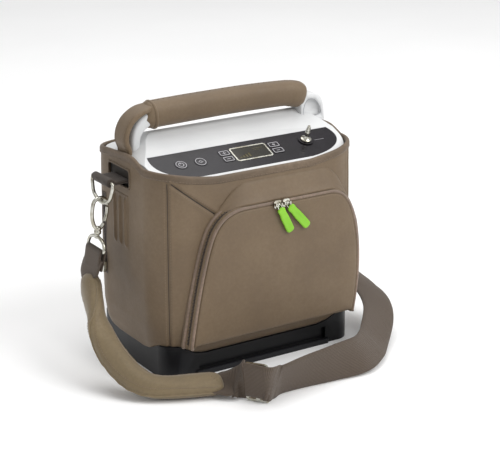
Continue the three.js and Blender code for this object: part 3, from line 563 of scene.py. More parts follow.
def case_point(s, z, lift=0.0):
    """A point of the soft outer surface of the case."""
    x, y, nx, ny = CASE.at(s)
    low, high = tray_edge(x, y), rim_z(x, y) - BINDING
    share = min(max((z - low) / (high - low), 0), 1)
    fullness = math.sin(math.pi * share) ** 0.8
    in_pocket = max(0, -ny) ** 4
    puff = fullness * (1.3 * (1 - in_pocket))
    puff += 2.6 * math.exp(-((x - 128) / 24) ** 2 - ((y + 62) / 30) ** 2 - ((z - 96) / 52) ** 2)
    taper = stepwise([(27, 6.5), (41, 2.2), (61, 0), (300, 0)], z)
    spot = Vector((x, y, z))
    rumple = 0.5 * noise.noise(spot * 0.018) + 0.18 * noise.noise(spot * 0.05 + Vector((7, 3, 1)))
    crease = -0.9 * math.exp(-((z - high + 15) / 5) ** 2) * max(0, -ny) ** 2
    seams = sum(groove(near_line(s, z, a, b)) for a, b in SEAMS if abs(s - (a[0] + b[0]) / 2) < 60)
    out = puff - taper + (rumple + crease) * fullness + seams + lift
    return Vector((x + nx * out, y + ny * out, z))


def box_cutter(name, low, high, round_by=3.0):
    corners = [(x, y, z) for x in (low[0], high[0]) for y in (low[1], high[1]) for z in (low[2], high[2])]
    faces = [(0, 1, 3, 2), (4, 6, 7, 5), (0, 4, 5, 1), (2, 3, 7, 6), (0, 2, 6, 4), (1, 5, 7, 3)]
    return bevelled(bare(name, corners, faces), round_by, 4, 30)


def applied(piece):
    """Bakes the piece's modifiers into its mesh."""
    graph = bpy.context.evaluated_depsgraph_get()
    mesh = bpy.data.meshes.new_from_object(piece.evaluated_get(graph))
    piece.modifiers.clear()
    piece.data = mesh
    smoothed(mesh)
    return piece


def cut(piece, *cutters):
    for cutter in cutters:
        hole = piece.modifiers.new("hole", "BOOLEAN")
        hole.operation, hole.object, hole.solver = "DIFFERENCE", cutter, "EXACT"
    applied(piece)
    for cutter in cutters:
        bpy.data.objects.remove(cutter)
    return piece


def seam_points(a, b, steps, above, below):
    """The points of a seam that lie clear of the tray and of the rim's binding."""
    for t in steps:
        s, z = a[0] + (b[0] - a[0]) * t, a[1] + (b[1] - a[1]) * t
        x, y, _, _ = CASE.at(s)
        if tray_edge(x, y) + above < z < rim_z(x, y) - BINDING - below:
            yield s, z


def build_case():
    columns = int(CASE.length / 1.9)
    rows = 118
    ring = []
    for i in range(columns):
        s = CASE.length * i / columns
        x, y, _, _ = CASE.at(s)
        low, high = tray_edge(x, y) + 0.4, rim_z(x, y) - BINDING + 3
        ring.append([case_point(s, low + (high - low) * j / rows) for j in range(rows + 1)])
    bag = make("bag_body", inside_out(skin(ring, around=False, looped=True)), FABRIC,
               ["bag_shell"])
    thickened(bag, 2.6, -1)
    cutters = [box_cutter(f"slot_{x:.0f}", (x - 12, -17, 215), (x + 12, 33, 237)) for x in (-135, 135)]
    cutters += [box_cutter(f"vent_{x0}", (x0, 66, 64), (x0 + 44, 95, 108), 2) for x0 in (-114, 70)]
    cutters.append(box_cutter("inlet", (-103, 70, 44), (-87, 95, 56), 2))
    cut(bag, *cutters)

    rings = []
    count = 360
    for i in range(count):
        x, y, nx, ny = CASE.at(CASE.length * i / count)
        top = rim_z(x, y)
        profile = [(0.1, -9.2), (1.1, -8.4), (1.5, -6), (1.5, -3.5), (1.1, -1.4), (-0.2, -0.2), (-1.5, 0),
                   (-2.8, -0.4), (-3.5, -1.8), (-3.6, -5), (-3.4, -9)]
        rings.append([Vector((x + nx * out, y + ny * out, top + up)) for out, up in profile])
    subdivided(make("rim_roll", inside_out(skin(rings, looped=True)), TRIM, ["rim_binding"]))
    spots = []
    for i in range(0, int(CASE.length / 3.6)):
        s = i * 3.6
        x, y, nx, ny = CASE.at(s)
        after = CASE.at(s + 1)
        spots.append((Vector((x + nx * 1.35, y + ny * 1.35, rim_z(x, y) - 7.2)),
                      Vector((after[0] - x, after[1] - y, rim_z(*after[:2]) - rim_z(x, y)))))
    stitches("rim_stitches", spots, 0.32, 2.3)
    lines, spots = [], []
    for a, b in SEAMS:
        path = [case_point(s, z, 0.25) for s, z in seam_points(a, b, [k / 120 for k in range(121)], 2, 1)]
        lines.append(rod(path, 0.75, 120, 8))
        length = math.hypot(b[0] - a[0], b[1] - a[1])
        ds, dz = (b[0] - a[0]) / length, (b[1] - a[1]) / length
        steps = [k * STITCH / length for k in range(3, int(length / STITCH) - 2)]
        for s, z in seam_points(a, b, steps, 5, 3):
            for off in (-3.1, 3.1):
                here = case_point(s + off * dz, z - off * ds, 0.1)
                there = case_point(s + off * dz + ds, z - off * ds + dz, 0.1)
                spots.append((here, there - here))
    # The dark seam lines are painted shade inside the seams' grooves.
    make("seam_lines", merged(*lines), SEAM_SHADE)
    stitches("seam_stitches", spots, 0.26, 2.0)


def build_ribs(side):
    """Three soft raised ribs on a side panel."""
    sign = -1 if side == "left" else 1
    face = CASE_LOW.x if side == "left" else CASE_HIGH.x
    last = 63
    rows = []
    for i in range(last + 1):
        z = 139 + 68 * i / last
        row = []
        for j in range(last + 1):
            y = -13.5 + 40 * j / last
            edge = min(y + 13.5, 26.5 - y, z - 139, 207 - z)
            out = 1.5 * min(1, edge / 2) ** 0.5
            for middle in (-6, 6.5, 19):
                end = min(1, max(0, min(z - 144, 202 - z)) / 5)
                out += 2.3 * math.exp(-((y - middle) / 2.3) ** 4) * end ** 0.5
            row.append(Vector((face + sign * out, y, z)))
        rows.append(row)
    front, faces = skin(rows, around=False)
    back = [Vector((face - sign * 0.2, p.y, p.z)) for p in front]
    count = len(front)
    faces += [tuple(count + k for k in reversed(f)) for f in list(faces)]
    wide = last + 1
    edge = list(range(wide)) + [wide * k + last for k in range(1, wide)]
    edge += [wide * last + k for k in range(last - 1, -1, -1)] + [wide * k for k in range(last - 1, 0, -1)]
    faces += [(a, b, count + b, count + a) for a, b in zip(edge, edge[1:] + edge[:1])]
    shape = front + back, faces
    make(f"rib_panel_{side}", inside_out(shape) if sign > 0 else shape, FABRIC,
         [f"side_vent_{side}"])


def teeth(name, path, size):
    """Moulded zip teeth along (point, direction, out) samples of a path."""
    parts = []
    for k, (point, direction, out) in enumerate(path):
        d = direction.normalized()
        o = (out - d * out.dot(d)).normalized()
        w = d.cross(o)
        shift = w * (0.5 if k % 2 else -0.5)
        a, b, c = (side / 2 for side in size)
        parts.append(skin([[point + shift + d * x * q + w * y * q + o * (z * c)
                            for x, y in ((-a, -b), (a, -b), (a, b), (-a, b))]
                           for z, q in ((-1, 1), (0.3, 1), (1, 0.55))]))
    make(name, merged(*parts), TEETH)


# ---------- front pocket ----------
def bezier(a, b, c, d, t):
    return tuple((1 - t) ** 3 * p + 3 * t * (1 - t) ** 2 * q + 3 * t * t * (1 - t) * r + t ** 3 * s
                 for p, q, r, s in zip(a, b, c, d))


def pocket_ring(grow):
    """The pocket's outline in x and z, grown outwards, from its low left corner round to its low right."""
    per_side = 46
    wide, top = grow * 1.5, POCKET_TOP + grow
    left, bend, right, end = (-76 - grow, 166), (-32, top), (117 + wide, 152), (116.5 + wide, POCKET_LOW)
    runs = [
        (lambda t: bezier((-103 - grow, POCKET_LOW), (-96 - grow, 90), (-86 - grow, 140), left, t), per_side),
        (lambda t: bezier(left, (-68 - grow, 186 + grow * 0.6), (-54, top), bend, t), per_side // 2),
        (lambda t: (-32 + 114 * t, top), per_side),
        (lambda t: bezier((82, top), (104 + grow * 0.4, top), (112 + grow, 176 + grow * 0.4), right, t),
         per_side // 2),
        (lambda t: bezier(right, (124 + wide, 120), (124 + wide, 80), end, t), per_side)]
    return [run(i / steps) for run, steps in runs for i in range(steps)] + [end]


def pocket_path(grow, y):
    return [Vector((x, y, z)) for x, z in pocket_ring(grow)]


def lengthened(path, z):
    """The path with both of its ends carried down to the height z."""
    first, last = (Vector((p.x, p.y, z)) for p in (path[0], path[-1]))
    return [first] + path + [last]


def build_pocket():
    # Side wall: from the piping on the case, in over the zip channel, to the piping round the flap.
    profile = [(7.6, -84.2), (7.4, -86), (6.2, -87), (5.2, -87.2), (4.6, -88.4), (4, -90), (3.2, -90.6),
               (2.7, -91.4), (2.6, -92.6), (3, -93.6), (2.9, -94.6), (2, -95.8), (0.9, -96.6), (0.2, -97),
               (-0.6, -96.6), (-0.6, -92)]
    # Along the top run the fabric comes down over the zip in one gentle slope.
    slope = [(30, -83.2), (24, -85.5), (19, -87.5), (14.5, -89.5), (10.5, -91.4), (7.4, -93), (5.2, -94.5),
             (4, -95.4)]
    slope += profile[len(slope):]
    rings = []
    for (grow, y), (over, over_y) in zip(profile, slope):
        ring = []
        for (x, z), (x2, z2) in zip(pocket_ring(grow), pocket_ring(over)):
            share = smoothstep(x, -68, -24) * (1 - smoothstep(x, 78, 114))
            ring.append(Vector((x + (x2 - x) * share, y + (over_y - y) * share, z + (z2 - z) * share)))
        rings.append(ring)
    rows = [lengthened(ring, 41.0) for ring in rings]
    wall = make("pocket_wall", skin(rows, around=False), FABRIC, ["pocket_gusset"])
    thickened(wall, 1.1, -1)
    floor_rows = []
    for i in range(13):
        y = -84 - 12.6 * i / 12
        z = 41.4 + 2.2 * (i / 12) ** 2
        left, right = -109 + 6.5 * i / 12, 127 - 11 * i / 12
        floor_rows.append([Vector((left + (right - left) * j / 60, y, z)) for j in range(61)])
    thickened(make("pocket_underside", skin(floor_rows, around=False), FABRIC), 1.2)

    for name, grow, y, radius in (("piping_inner", 6.6, -87.0, 1.7), ("piping_outer", 1.4, -97.0, 1.6)):
        path = pocket_path(grow, y)
        if name == "piping_inner":
            for p in path:
                along_top = smoothstep(p.x, -62, -34) * (1 - smoothstep(p.x, 96, 122))
                p.y += 3.5 * along_top * smoothstep(p.z, 150, 185)
        make(name, rod(lengthened(path, 40.6), radius, 300, 12), PIPING)
    tape = [pocket_path(grow, y) for grow, y in ((4.9, -88.4), (4.3, -90.9), (3.4, -92.6), (2.7, -94.4))]
    thickened(make("zip_tape", skin(tape, around=False), DARK_TAPE), 0.8, 1)

    path = pocket_path(4.5, -92.0)
    samples, walked, due, pitch = [], 0.0, 3.0, 2.0
    for a, b in zip(path, path[1:]):
        step = (b - a).length
        while walked + step > due:
            point = a + (b - a) * ((due - walked) / step)
            direction = (b - a).normalized()
            samples.append((point, direction, direction.cross(Vector((0, 1, 0))) + Vector((0, -0.6, 0))))
            due += pitch
        walked += step
    teeth("zip_teeth", samples, (1.5, 2.4, 1.1))
    build_flap()
    for side, x, lean, length in (("left", 7, 0.46, 39), ("right", 18.5, 0.725, 44)):
        build_pull(side, x, lean, length)


def build_flap():
    """The crowned front panel, made as rings that shrink towards its middle."""
    outline = pocket_ring(-0.7)
    count, low = 44, POCKET_LOW + 0.8
    outline[-1] = (outline[-1][0], low)
    outline += [(116.5 - 219.5 * i / count - 1, low) for i in range(1, count)]
    edge = [Vector((x, 0, z)) for x, z in outline]
    middle = Vector((12, 0, 112))
    rings = []
    profile = [(1, -96.2), (1, -98), (0.996, -99), (0.985, -99.6), (0.965, -99.9), (0.93, -100.1),
               (0.88, -100.4)]
    profile += [(k / 20, -100.4 - 1.2 * math.cos(k / 20 * math.pi / 2) ** 1.2) for k in range(17, 0, -1)]
    for share, y in profile:
        ring = []
        for p in edge:
            q = middle + (p - middle) * share
            soft = 0.5 * noise.noise(Vector((q.x, 11, q.z)) * 0.02) * (1 - share)
            stitched = -0.5 * math.exp(-((share - 0.955) / 0.008) ** 2)
            ring.append(Vector((q.x, y - soft - stitched, q.z)))
        rings.append(ring)
    make("flap_panel", skin(rings), FABRIC, ["pocket_flap"], "pocket_flap")
    spots = []
    for a, b in zip(edge, edge[1:] + edge[:1]):
        steps = max(1, round((b - a).length / STITCH))
        for k in range(steps):
            inward = middle + (a + (b - a) * (k / steps) - middle) * 0.957
            spots.append((Vector((inward.x, -99.65, inward.z)), b - a))
    stitches("flap_stitches", spots, 0.26, 1.9, "pocket_flap")


def build_pull(side, x, lean, length):
    """A rounded rubber pull with a waist and a shallow thumb dish, moulded round its metal link."""
    place = Matrix.Translation((x, POCKET_FRONT - 4.7, POCKET_TOP + 0.5)) @ Matrix.Rotation(-lean, 4, "Y")
    rows = []

    def rounded(end, over, least):
        """From near 0 at the end to 1, as a quarter circle."""
        return min(1, math.sqrt(max(0.0, 1 - (1 - min(1, end / over)) ** 2)) + least)
    for i in range(41):
        t = i / 40
        z, end = -4.6 - (length - 4.4) * t, min(t, 1 - t)
        width = 5.1 * rounded(end, 0.12, 0.02) * (1 - 0.13 * math.exp(-((t - 0.22) / 0.12) ** 2))
        thick = 1.85 * rounded(end, 0.08, 0.05)
        row = []
        for a, b in oval(2 * width, 2 * thick, 32, 3.2):
            dish = 0.55 * math.exp(-(a / 2.6) ** 4 - ((t - 0.6) / 0.26) ** 4)
            row.append(place @ Vector((a, b + math.copysign(dish, -b) if abs(b) > 0.8 else b, z)))
        rows.append(row)
    node = f"zip_pull_{side}"
    make(f"pull_grip_{side}", skin(rows), GREEN, [node], node)
    link = [(-2, -8), (-2.4, -3.5), (-1.6, -0.4), (0, 0.5), (1.6, -0.4), (2.4, -3.5), (2, -8)]
    bent = [place @ Vector((a, 0, z)) for a, z in link]
    make(f"pull_link_{side}", rod(bent, 0.75, 40, 10), METAL, body=node)


def build_side_zip():
    face, middle = CASE_LOW.x - 1.1, 46
    section = []
    for k in range(21):
        off = 0.5 * k - 5
        bulge = 0.5 * math.cos(off / 5.4 * math.pi / 2) - 0.35 * math.exp(-(off / 1.2) ** 2)
        section.append((face - bulge, middle + off))
    rows = [[Vector((x, y, 96 + 100 * i / 89)) for x, y in section] for i in range(90)]
    uvs = [(k * 0.0005, i * 0.0011) for i in range(90) for k in range(21)]
    tape = inside_out(skin(rows, around=False))
    thickened(make("side_tape", tape, DARK_TAPE, ["side_zip_tape"], uvs=uvs), 0.7, -1)
    up, out = Vector((0, 0, 1)), Vector((-1, 0, 0))
    path = [(Vector((face - 0.7, middle, 99 + 2 * k)), up, out) for k in range(48)]
    teeth("side_teeth", path, (1.4, 2.4, 0.8))


# ---------- device top ----------
RISE = 0.09                     # height of the printing
SLOPE = Matrix.Translation((0, PANEL_Y, 233 + 0.4 * (PANEL_Y + 80.5))) @ Matrix.Rotation(TILT, 4, "X")


def rounded_rectangle(x0, x1, y0, y1, radius, steps=8):
    radius = min(radius, (x1 - x0) / 2 - 0.01, (y1 - y0) / 2 - 0.01)
    points = []
    for cx, cy, start in ((x1 - radius, y0 + radius, -90), (x1 - radius, y1 - radius, 0),
                          (x0 + radius, y1 - radius, 90), (x0 + radius, y0 + radius, 180)):
        for k in range(steps + 1):
            a = math.radians(start + 90 * k / steps)
            points.append((cx + radius * math.cos(a), cy + radius * math.sin(a)))
    return points


def printed_line(outer, inner, height):
    """A thin raised line between two outlines on the slope."""
    top = height + RISE
    corners = ((outer, height), (outer, top), (inner, top), (inner, height))
    return skin([[SLOPE @ Vector((x, s, z)) for x, s in outline] for outline, z in corners], looped=True)


def printed_bar(x0, x1, s0, s1, height, rise=RISE):
    outline = rounded_rectangle(x0, x1, s0, s1, 0.3, 3)
    return skin([[SLOPE @ Vector((x, s, z)) for x, s in outline] for z in (height, height + rise)])


def printed_circle(x, s, radius, width, height):
    outer, inner = ([(x + a, s + b) for a, b in circle(48, r)] for r in (radius, radius - width))
    return printed_line(outer, inner, height)


def key_outline(x, s, w, h, r, grow):
    return rounded_rectangle(x - w / 2 - grow, x + w / 2 + grow, s - h / 2 - grow, s + h / 2 + grow, r + grow)


KEYS = {"power_button": (-89, 1.6, 14.6, 14.6, 7.2), "mute_button": (-64, 1, 14.6, 14.6, 7.2),
        "mode_up_key": (-29, 8.2, 14, 9.6, 2.4), "mode_down_key": (-29, -2.8, 14, 9.6, 2.4),
        "flow_up_key": (38, 8.2, 15, 9.6, 2.4), "flow_down_key": (38, -2.8, 15, 9.6, 2.4)}


def build_key_marks():
    for name, (x, s, w, h, r) in KEYS.items():
        top = 0.6
        marks = [printed_line(key_outline(x, s, w, h, r, -0.9), key_outline(x, s, w, h, r, -1.6), top)]
        if name == "power_button":
            marks.append(printed_circle(x, s, 3.4, 0.7, top))
            bars = [(-0.4, 0.4, 0.6, 4.4)]
        elif name == "mute_button":
            marks.append(printed_circle(x, s, 2.0, 0.6, top))
            bars = [(-3.8, -2.6, -0.3, 0.3), (2.6, 3.8, -0.3, 0.3)]
        else:
            bars = [(-2.2, 2.2, -0.4, 0.4)]
            if "up" in name:
                bars += [(-0.4, 0.4, -2.2, -0.5), (-0.4, 0.4, 0.5, 2.2)]
        marks += [printed_bar(x + x0, x + x1, s + s0, s + s1, top) for x0, x1, s0, s1 in bars]
        make(name + "_mark", merged(*marks), MARK, body=name)
    make("panel_marks", printed_bar(92.5, 106, 3.4, 3.8, 0.1), MARK)
    bars = [(-14 + k * 4.2, -11.4 + k * 4.2, -4.5, -2.5 + k * 1.6) for k in range(4)]
    bars += [(8, 22, 8.2, 8.8), (8, 17, 5.2, 5.8)]
    make("display_marks", merged(*[printed_bar(*bar, -0.02, 0.05) for bar in bars]), SCREEN_MARK)


def build_barb():
    profile = [(0.01, 0), (6.5, 0), (6.6, 0.35), (6.6, 0.9), (6.3, 1.25), (5.4, 1.6), (4.3, 2.4), (3.4, 3.4),
               (2.75, 4.4), (2.5, 5.4), (2.5, 8.9), (2.7, 9.2), (3.1, 9.45), (3.05, 9.7), (2.55, 11.6),
               (2.4, 12), (2.7, 12.2), (3, 12.45), (2.9, 12.8), (2.25, 15.6), (1.9, 18), (1.75, 18.7),
               (1.5, 19), (1.05, 19), (0.95, 18.6), (0.9, 12), (0.01, 12)]
    place = SLOPE @ Matrix.Translation((81.5, 6, 1.75))
    make("outlet_barb", lathe(profile, place, 56), METAL, ["cannula_barb"])


def level(*stations):
    """Stations in the handle's plane, with their width from front to back."""
    return [[x, GRIP_Y, z, 0, 1, 0] for x, z in stations]


HANDLE = level((-118, 238), (-119, 256), (-116, 273), (-105, 285), (-86, 290.5), (-30, 292), (30, 292.5),
               (86, 291.5), (104, 288.5), (115, 280), (120, 266), (120.5, 252), (121, 238))
POST = [(105.5, 240), (105, 262), (104, 276), (105, 285), (113, 288.8), (124, 288), (132.5, 283.5),
        (137.5, 275), (139.5, 262), (141, 240)]
RECESS = [(110, 262), (110, 275), (116, 281.5), (124, 280), (130.5, 273), (132, 262)]


def handle_section(t):
    return oval(22, 17 + 6 * smoothstep(t, 0.7, 0.86) - 5 * (1 - smoothstep(t, 0.1, 0.3)), 32, 3.4)


def build_handle():
    rings = sweep(frames_along(HANDLE, 120, 0.035, 0.965), handle_section)
    arch = make("handle_arch", skin(rings), WHITE, ["handle"])
    spine = [smooth_at(POST, k / 46) for k in range(47)]
    rows = []
    for y, scale in ((-3, 0.9), (-2.6, 0.94), (-1.8, 0.97), (-0.4, 0.995), (1.5, 1), (14.5, 1), (16.4, 0.995),
                     (17.8, 0.97), (18.6, 0.94), (19, 0.9)):
        rows.append([Vector((121 + (x - 121) * scale, y, 262 + (z - 262) * (1 if z < 262 else scale)))
                     for x, z in spine])
    post = make("handle_post", skin(rows), WHITE)
    ring = [smooth_at(RECESS, k / 48, closed=True) for k in range(48)]
    for piece, depth in ((arch, 2.4), (post, 0.4)):
        recess = skin([[(x, y, z) for x, z in ring] for y in (-10, depth)])
        cut(outward(piece), outward(bare("recess", *recess)))
    make("post_line", hoop([(x, -2.9, z) for x, z in ring], 0.4, 96, 8), GREY)


GRIP = level((-94, 290.5), (-88, 291), (-30, 292), (30, 292.3), (82, 291), (96, 289.2), (105, 287),
             (111.5, 284.8))
TAIL = level((-128, 251), (-128.4, 256.5), (-131.6, 266), (-130, 277), (-123.5, 288), (-112, 296),
             (-98, 300), (-84, 301.4), (-66, 299))


def build_sleeve():
    def section(t):
        size = 1.0
        if t > 0.82:
            size = 0.72 + 0.28 * math.sqrt(max(0, 1 - ((t - 0.82) / 0.18) ** 2))
        if t < 0.04:
            size = 0.9 + 2.5 * t
        full = 1 + 0.012 * math.sin(t * 9) + 0.02 * noise.noise(Vector((t * 6, 1, 2)))
        return oval(29 * size * full, 31 * size * full, 44, 2.35)
    rings = sweep(frames_along(GRIP, 150), section)
    seams = (("grip_seam_top", 11), ("grip_seam_low", 33))
    for name, k in seams:
        line = [ring[k] for ring in rings]
        stitches(name, [(p, q - p) for p, q in zip(line[6:-14:3], line[7:-13:3])], 0.3, 2.2)
    for ring in rings:
        for _, k in seams:
            centre = sum(ring, Vector()) / len(ring)
            ring[k] = ring[k] + (centre - ring[k]).normalized() * 0.7
    make("grip_sleeve", skin(rings), FABRIC, ["handle_sleeve"])
    frames = frames_along(TAIL, 90)

    def tail(t):
        return oval(27.5 - 13 * smoothstep(t, 0.66, 0.86), 6.6 - 2 * smoothstep(t, 0.7, 1), 40, 4.2)
    make("grip_tail", skin(sweep(frames, tail)), FABRIC)
    for name, aside in (("tail_stitches_front", -10.6), ("tail_stitches_back", 10.6)):
        spots = [(p + across * aside + face * up, q - p) for (_, p, across, face), (_, q, _, _) in
                 zip(frames[2:-40:2], frames[3:-39:2]) for up in (-3.35, 3.35)]
        stitches(name, spots, 0.26, 2.0)
    # Rolled edge where the sleeve opens round the left leg.
    _, p, across, face = frames_along(GRIP, 4)[0]
    path = [p + Vector((0.6, 0, 0)) + across * a + face * b for a, b in oval(27.6, 29.2, 24, 2.35)]
    make("grip_hem", hoop(path, 2.3, 96), FABRIC)


# ---------- rings and hooks ----------
HOOK_PLACE = Matrix.Translation((-160, GRIP_Y, 204.8)) @ Matrix.Rotation(0.136, 4, "Y")


def build_metal(side):
    """One side's ring, hook, gate, eye, tab and slot, drawn for the left side."""
    def flip(shape):
        points, faces = shape
        return [Vector((p.x if side == "left" else -p.x, p.y, p.z)) for p in points], faces

    def metal(name, shape, node, body=None):
        make(f"{name}_{side}", flip(shape), METAL, [node], body or node)

    x, y, z, wide = -157, GRIP_Y, 224, 24.5
    arm = (z - 198) * 0.55
    ring = [(x, y - wide + 3, z), (x, y, z), (x, y + wide - 3, z), (x - 0.3, y + wide, z - 3),
            (x - 1.2, y + wide - 1, z - arm * 0.7), (x - 2.2, y + wide * 0.72, z - arm * 1.45),
            (-160, y, 198), (x - 2.2, y - wide * 0.72, z - arm * 1.45),
            (x - 1.2, y - wide + 1, z - arm * 0.7), (x - 0.3, y - wide, z - 3)]
    metal("ring", hoop(ring, 2.1, 120), f"d_ring_{side}")
    length, w = 41, 9.5
    hook = [(0, 0, -2), (w * 0.82, 0, -6), (w, 0, -17), (w * 0.85, 0, -28), (w * 0.35, 0, -length + 4),
            (-w * 0.35, 0, -length + 4), (-w * 0.85, 0, -28), (-w, 0, -17), (-w * 0.82, 0, -6)]
    count = 160
    samples = [Vector(smooth_at(hook, k / count, closed=True)) for k in range(count)]
    in_gate = [k for k, p in enumerate(samples) if p.x > 0 and -30 < p.z < -12]
    samples = [HOOK_PLACE @ p for p in samples]
    body = [samples[k % count] for k in range(in_gate[-1] + 4, in_gate[0] - 3 + count)]
    barrel = [(0.01, -44), (3.9, -44), (4.3, -43.6), (4.3, -40.8), (3.6, -40.2), (3.6, -39.6), (4.3, -39.0),
              (4.3, -37.2), (3.7, -36.2), (2.6, -35.4), (0.01, -35.2)]
    metal("hook", merged(rod(body, 2.25, 130, 16), lathe(barrel, HOOK_PLACE)), f"snap_hook_{side}")
    metal("gate", rod([samples[k] for k in in_gate], 1.95, 40), f"hook_gate_{side}")
    top, half = -44.35, WEB_WIDTH / 2 - 4
    eye = [(0, -3), (half * 0.8, -6), (half + 2, -13), (half, -18), (0, -19), (-half, -18), (-half - 2, -13),
           (-half * 0.8, -6)]
    eye = [HOOK_PLACE @ Vector((0, a, top + down)) for a, down in eye]
    stem = [(0.01, -5), (3, -5), (3.2, -4), (2.4, -2), (2.9, -0.6), (2.6, 0), (0.01, 0)]
    stem = lathe([(r, top + down) for r, down in stem], HOOK_PLACE)
    metal("eye", merged(hoop(eye, 2.0, 110), stem), f"swivel_eye_{side}", "case")

    # Rolled fabric tab: a spiral roll round the ring's bar, and a web that goes into the slot.
    rows = []
    for j in range(41):
        yy = y - 19 + 38 * j / 40
        crown = 1 - 0.12 * (abs(j - 20) / 20) ** 6
        radii = [5.25 * crown + 0.14 * math.sin(6 * math.pi * k / 40 + yy * 0.4) for k in range(40)]
        rows.append([Vector((x + r * a, yy, z + r * b)) for r, (a, b) in zip(radii, circle(40))])
    web = [[Vector((x + 3 + 1.2 * k, y + yy, z - 1.2 + zz)) for yy, zz in band_section(37.5, 3.2, 10)]
           for k in range(18)]
    tab = flip(merged(skin(rows), skin(web)))
    make(f"tab_{side}", tab, DARK_TAPE, [f"ring_anchor_{side}"])
    spots = [(Vector((x + 7.5, y + yy, z + 0.55)), Vector((0, 1, 0))) for yy in range(-16, 17, 3)]
    make(f"tab_stitches_{side}", flip(capsules(spots, 0.3, 2.0)), THREAD)
    # Dark sheet of painted shade that closes the slot from behind, and the slot's bound border.
    shade_sheet = [[Vector((-131.8 + 0.25 * math.cos(3 * a), y + a * 26, 226 + b * 13.5))
               for a in (-1, -0.5, 0, 0.5, 1)] for b in (-1, -0.33, 0.33, 1)]
    thickened(make(f"slot_shade_sheet_{side}", flip(skin(shade_sheet, around=False)), SEAM_SHADE), 0.4)
    path = [(-136.3, a, b) for a, b in rounded_rectangle(-17, 33, 215, 237, 4, 6)]
    make(f"slot_edge_{side}", flip(hoop(path, 1.15, 160, 10)), TRIM)


# ---------- strap ----------
def ribbon(name, stations, steps, replaced, covered=()):
    """Woven strap along its stations, folded in between the covered ones, its weave along the length."""
    def section(t):
        folded = 0
        if covered:
            over = 1 / (len(stations) - 1)
            first, last = (k * over for k in covered)
            folded = smoothstep(t, first, first + over) * (1 - smoothstep(t, last - over, last))
        return band_section(WEB_WIDTH - 13 * folded, 1.8)
    frames = frames_along(stations, steps)
    length, uvs, before = 0.0, [], frames[0][1]
    for t, point, _, _ in frames:
        length += (point - before).length
        before = point
        uvs += [((a + WEB_WIDTH) / 1000, length / 1000) for a, _ in section(t)]
    strap = make(name, skin(sweep(frames, section)), WEBBING, replaced, uvs=uvs)


EYE_X, EYE_Z = -168.59, 142.04
PAD_ROUTE = [
    [-176, 12.4, 114.5, 0.05, 1, 0], [-178.5, 8, 103, 0.1, 1, 0.1], [-183, -7, 90, 0.15, 0.9, 0.3],
    [-188, -28, 70, 0.3, 0.8, 0.45], [-189, -47, 54, 0.45, 0.65, 0.55], [-186, -67, 39, 0.6, 0.5, 0.55],
    [-178, -87, 25, 0.75, 0.45, 0.45], [-164, -103, 15.5, 0.8, 0.5, 0.28], [-146, -114, 12, 0.65, 0.72, 0.2],
    [-126, -124, 11.5, 0.45, 0.87, 0.2], [-105, -133, 11.5, 0.3, 0.92, 0.2], [-88, -140, 12, 0.35, 0.9, 0.25]]
SHORT_WEB = ([[EYE_X - 0.6, 8.5, EYE_Z - 5, 0.05, 1, 0], [-172.5, 10.5, 127, 0.05, 1, 0]] + PAD_ROUTE
             + [[-80.2, -143.4, 13.4, 0.36, 0.9, 0.3], [-77.6, -146.6, 15.4, 0.6, 0.6, 0.6],
                [-76.9, -154.5, 21.2, 0.4, 0, 0.9], [-77, -163.5, 22.3, -0.1, -0.1, 1]])
LONG_WEB = [
    [-80.6, -169.8, 27.2, -0.12, -0.06, 1], [-74, -180.6, 27.2, -0.12, -0.07, 1],
    [-66.6, -190.4, 26.6, -0.14, -0.1, 1], [-58.6, -191, 24.6, -0.18, -0.2, 0.97],
    [-48, -185.6, 21.6, -0.23, -0.33, 0.91], [-36, -181.5, 21.7, -0.2, -0.3, 0.93],
    [-8, -179, 22.3, -0.15, -0.15, 0.98], [36, -177, 22.5, -0.22, 0.12, 0.96],
    [76, -173, 22.3, -0.35, 0.42, 0.84], [101, -158, 22.6, -0.55, 0.4, 0.72],
    [121, -138, 23, -0.7, 0.3, 0.62], [152, -104, 31, -0.93, 0, 0.35], [168, -76, 38, -0.95, -0.1, 0.2],
    [176, -42, 47, -0.75, -0.5, 0.1], [176, -16, 66, -0.35, -0.9, 0], [175, 2, 95, -0.08, -1, 0],
    [172.5, 10, 122, -0.05, -1, 0], [-EYE_X + 0.4, GRIP_Y, EYE_Z - 4, -0.05, -1, 0]]


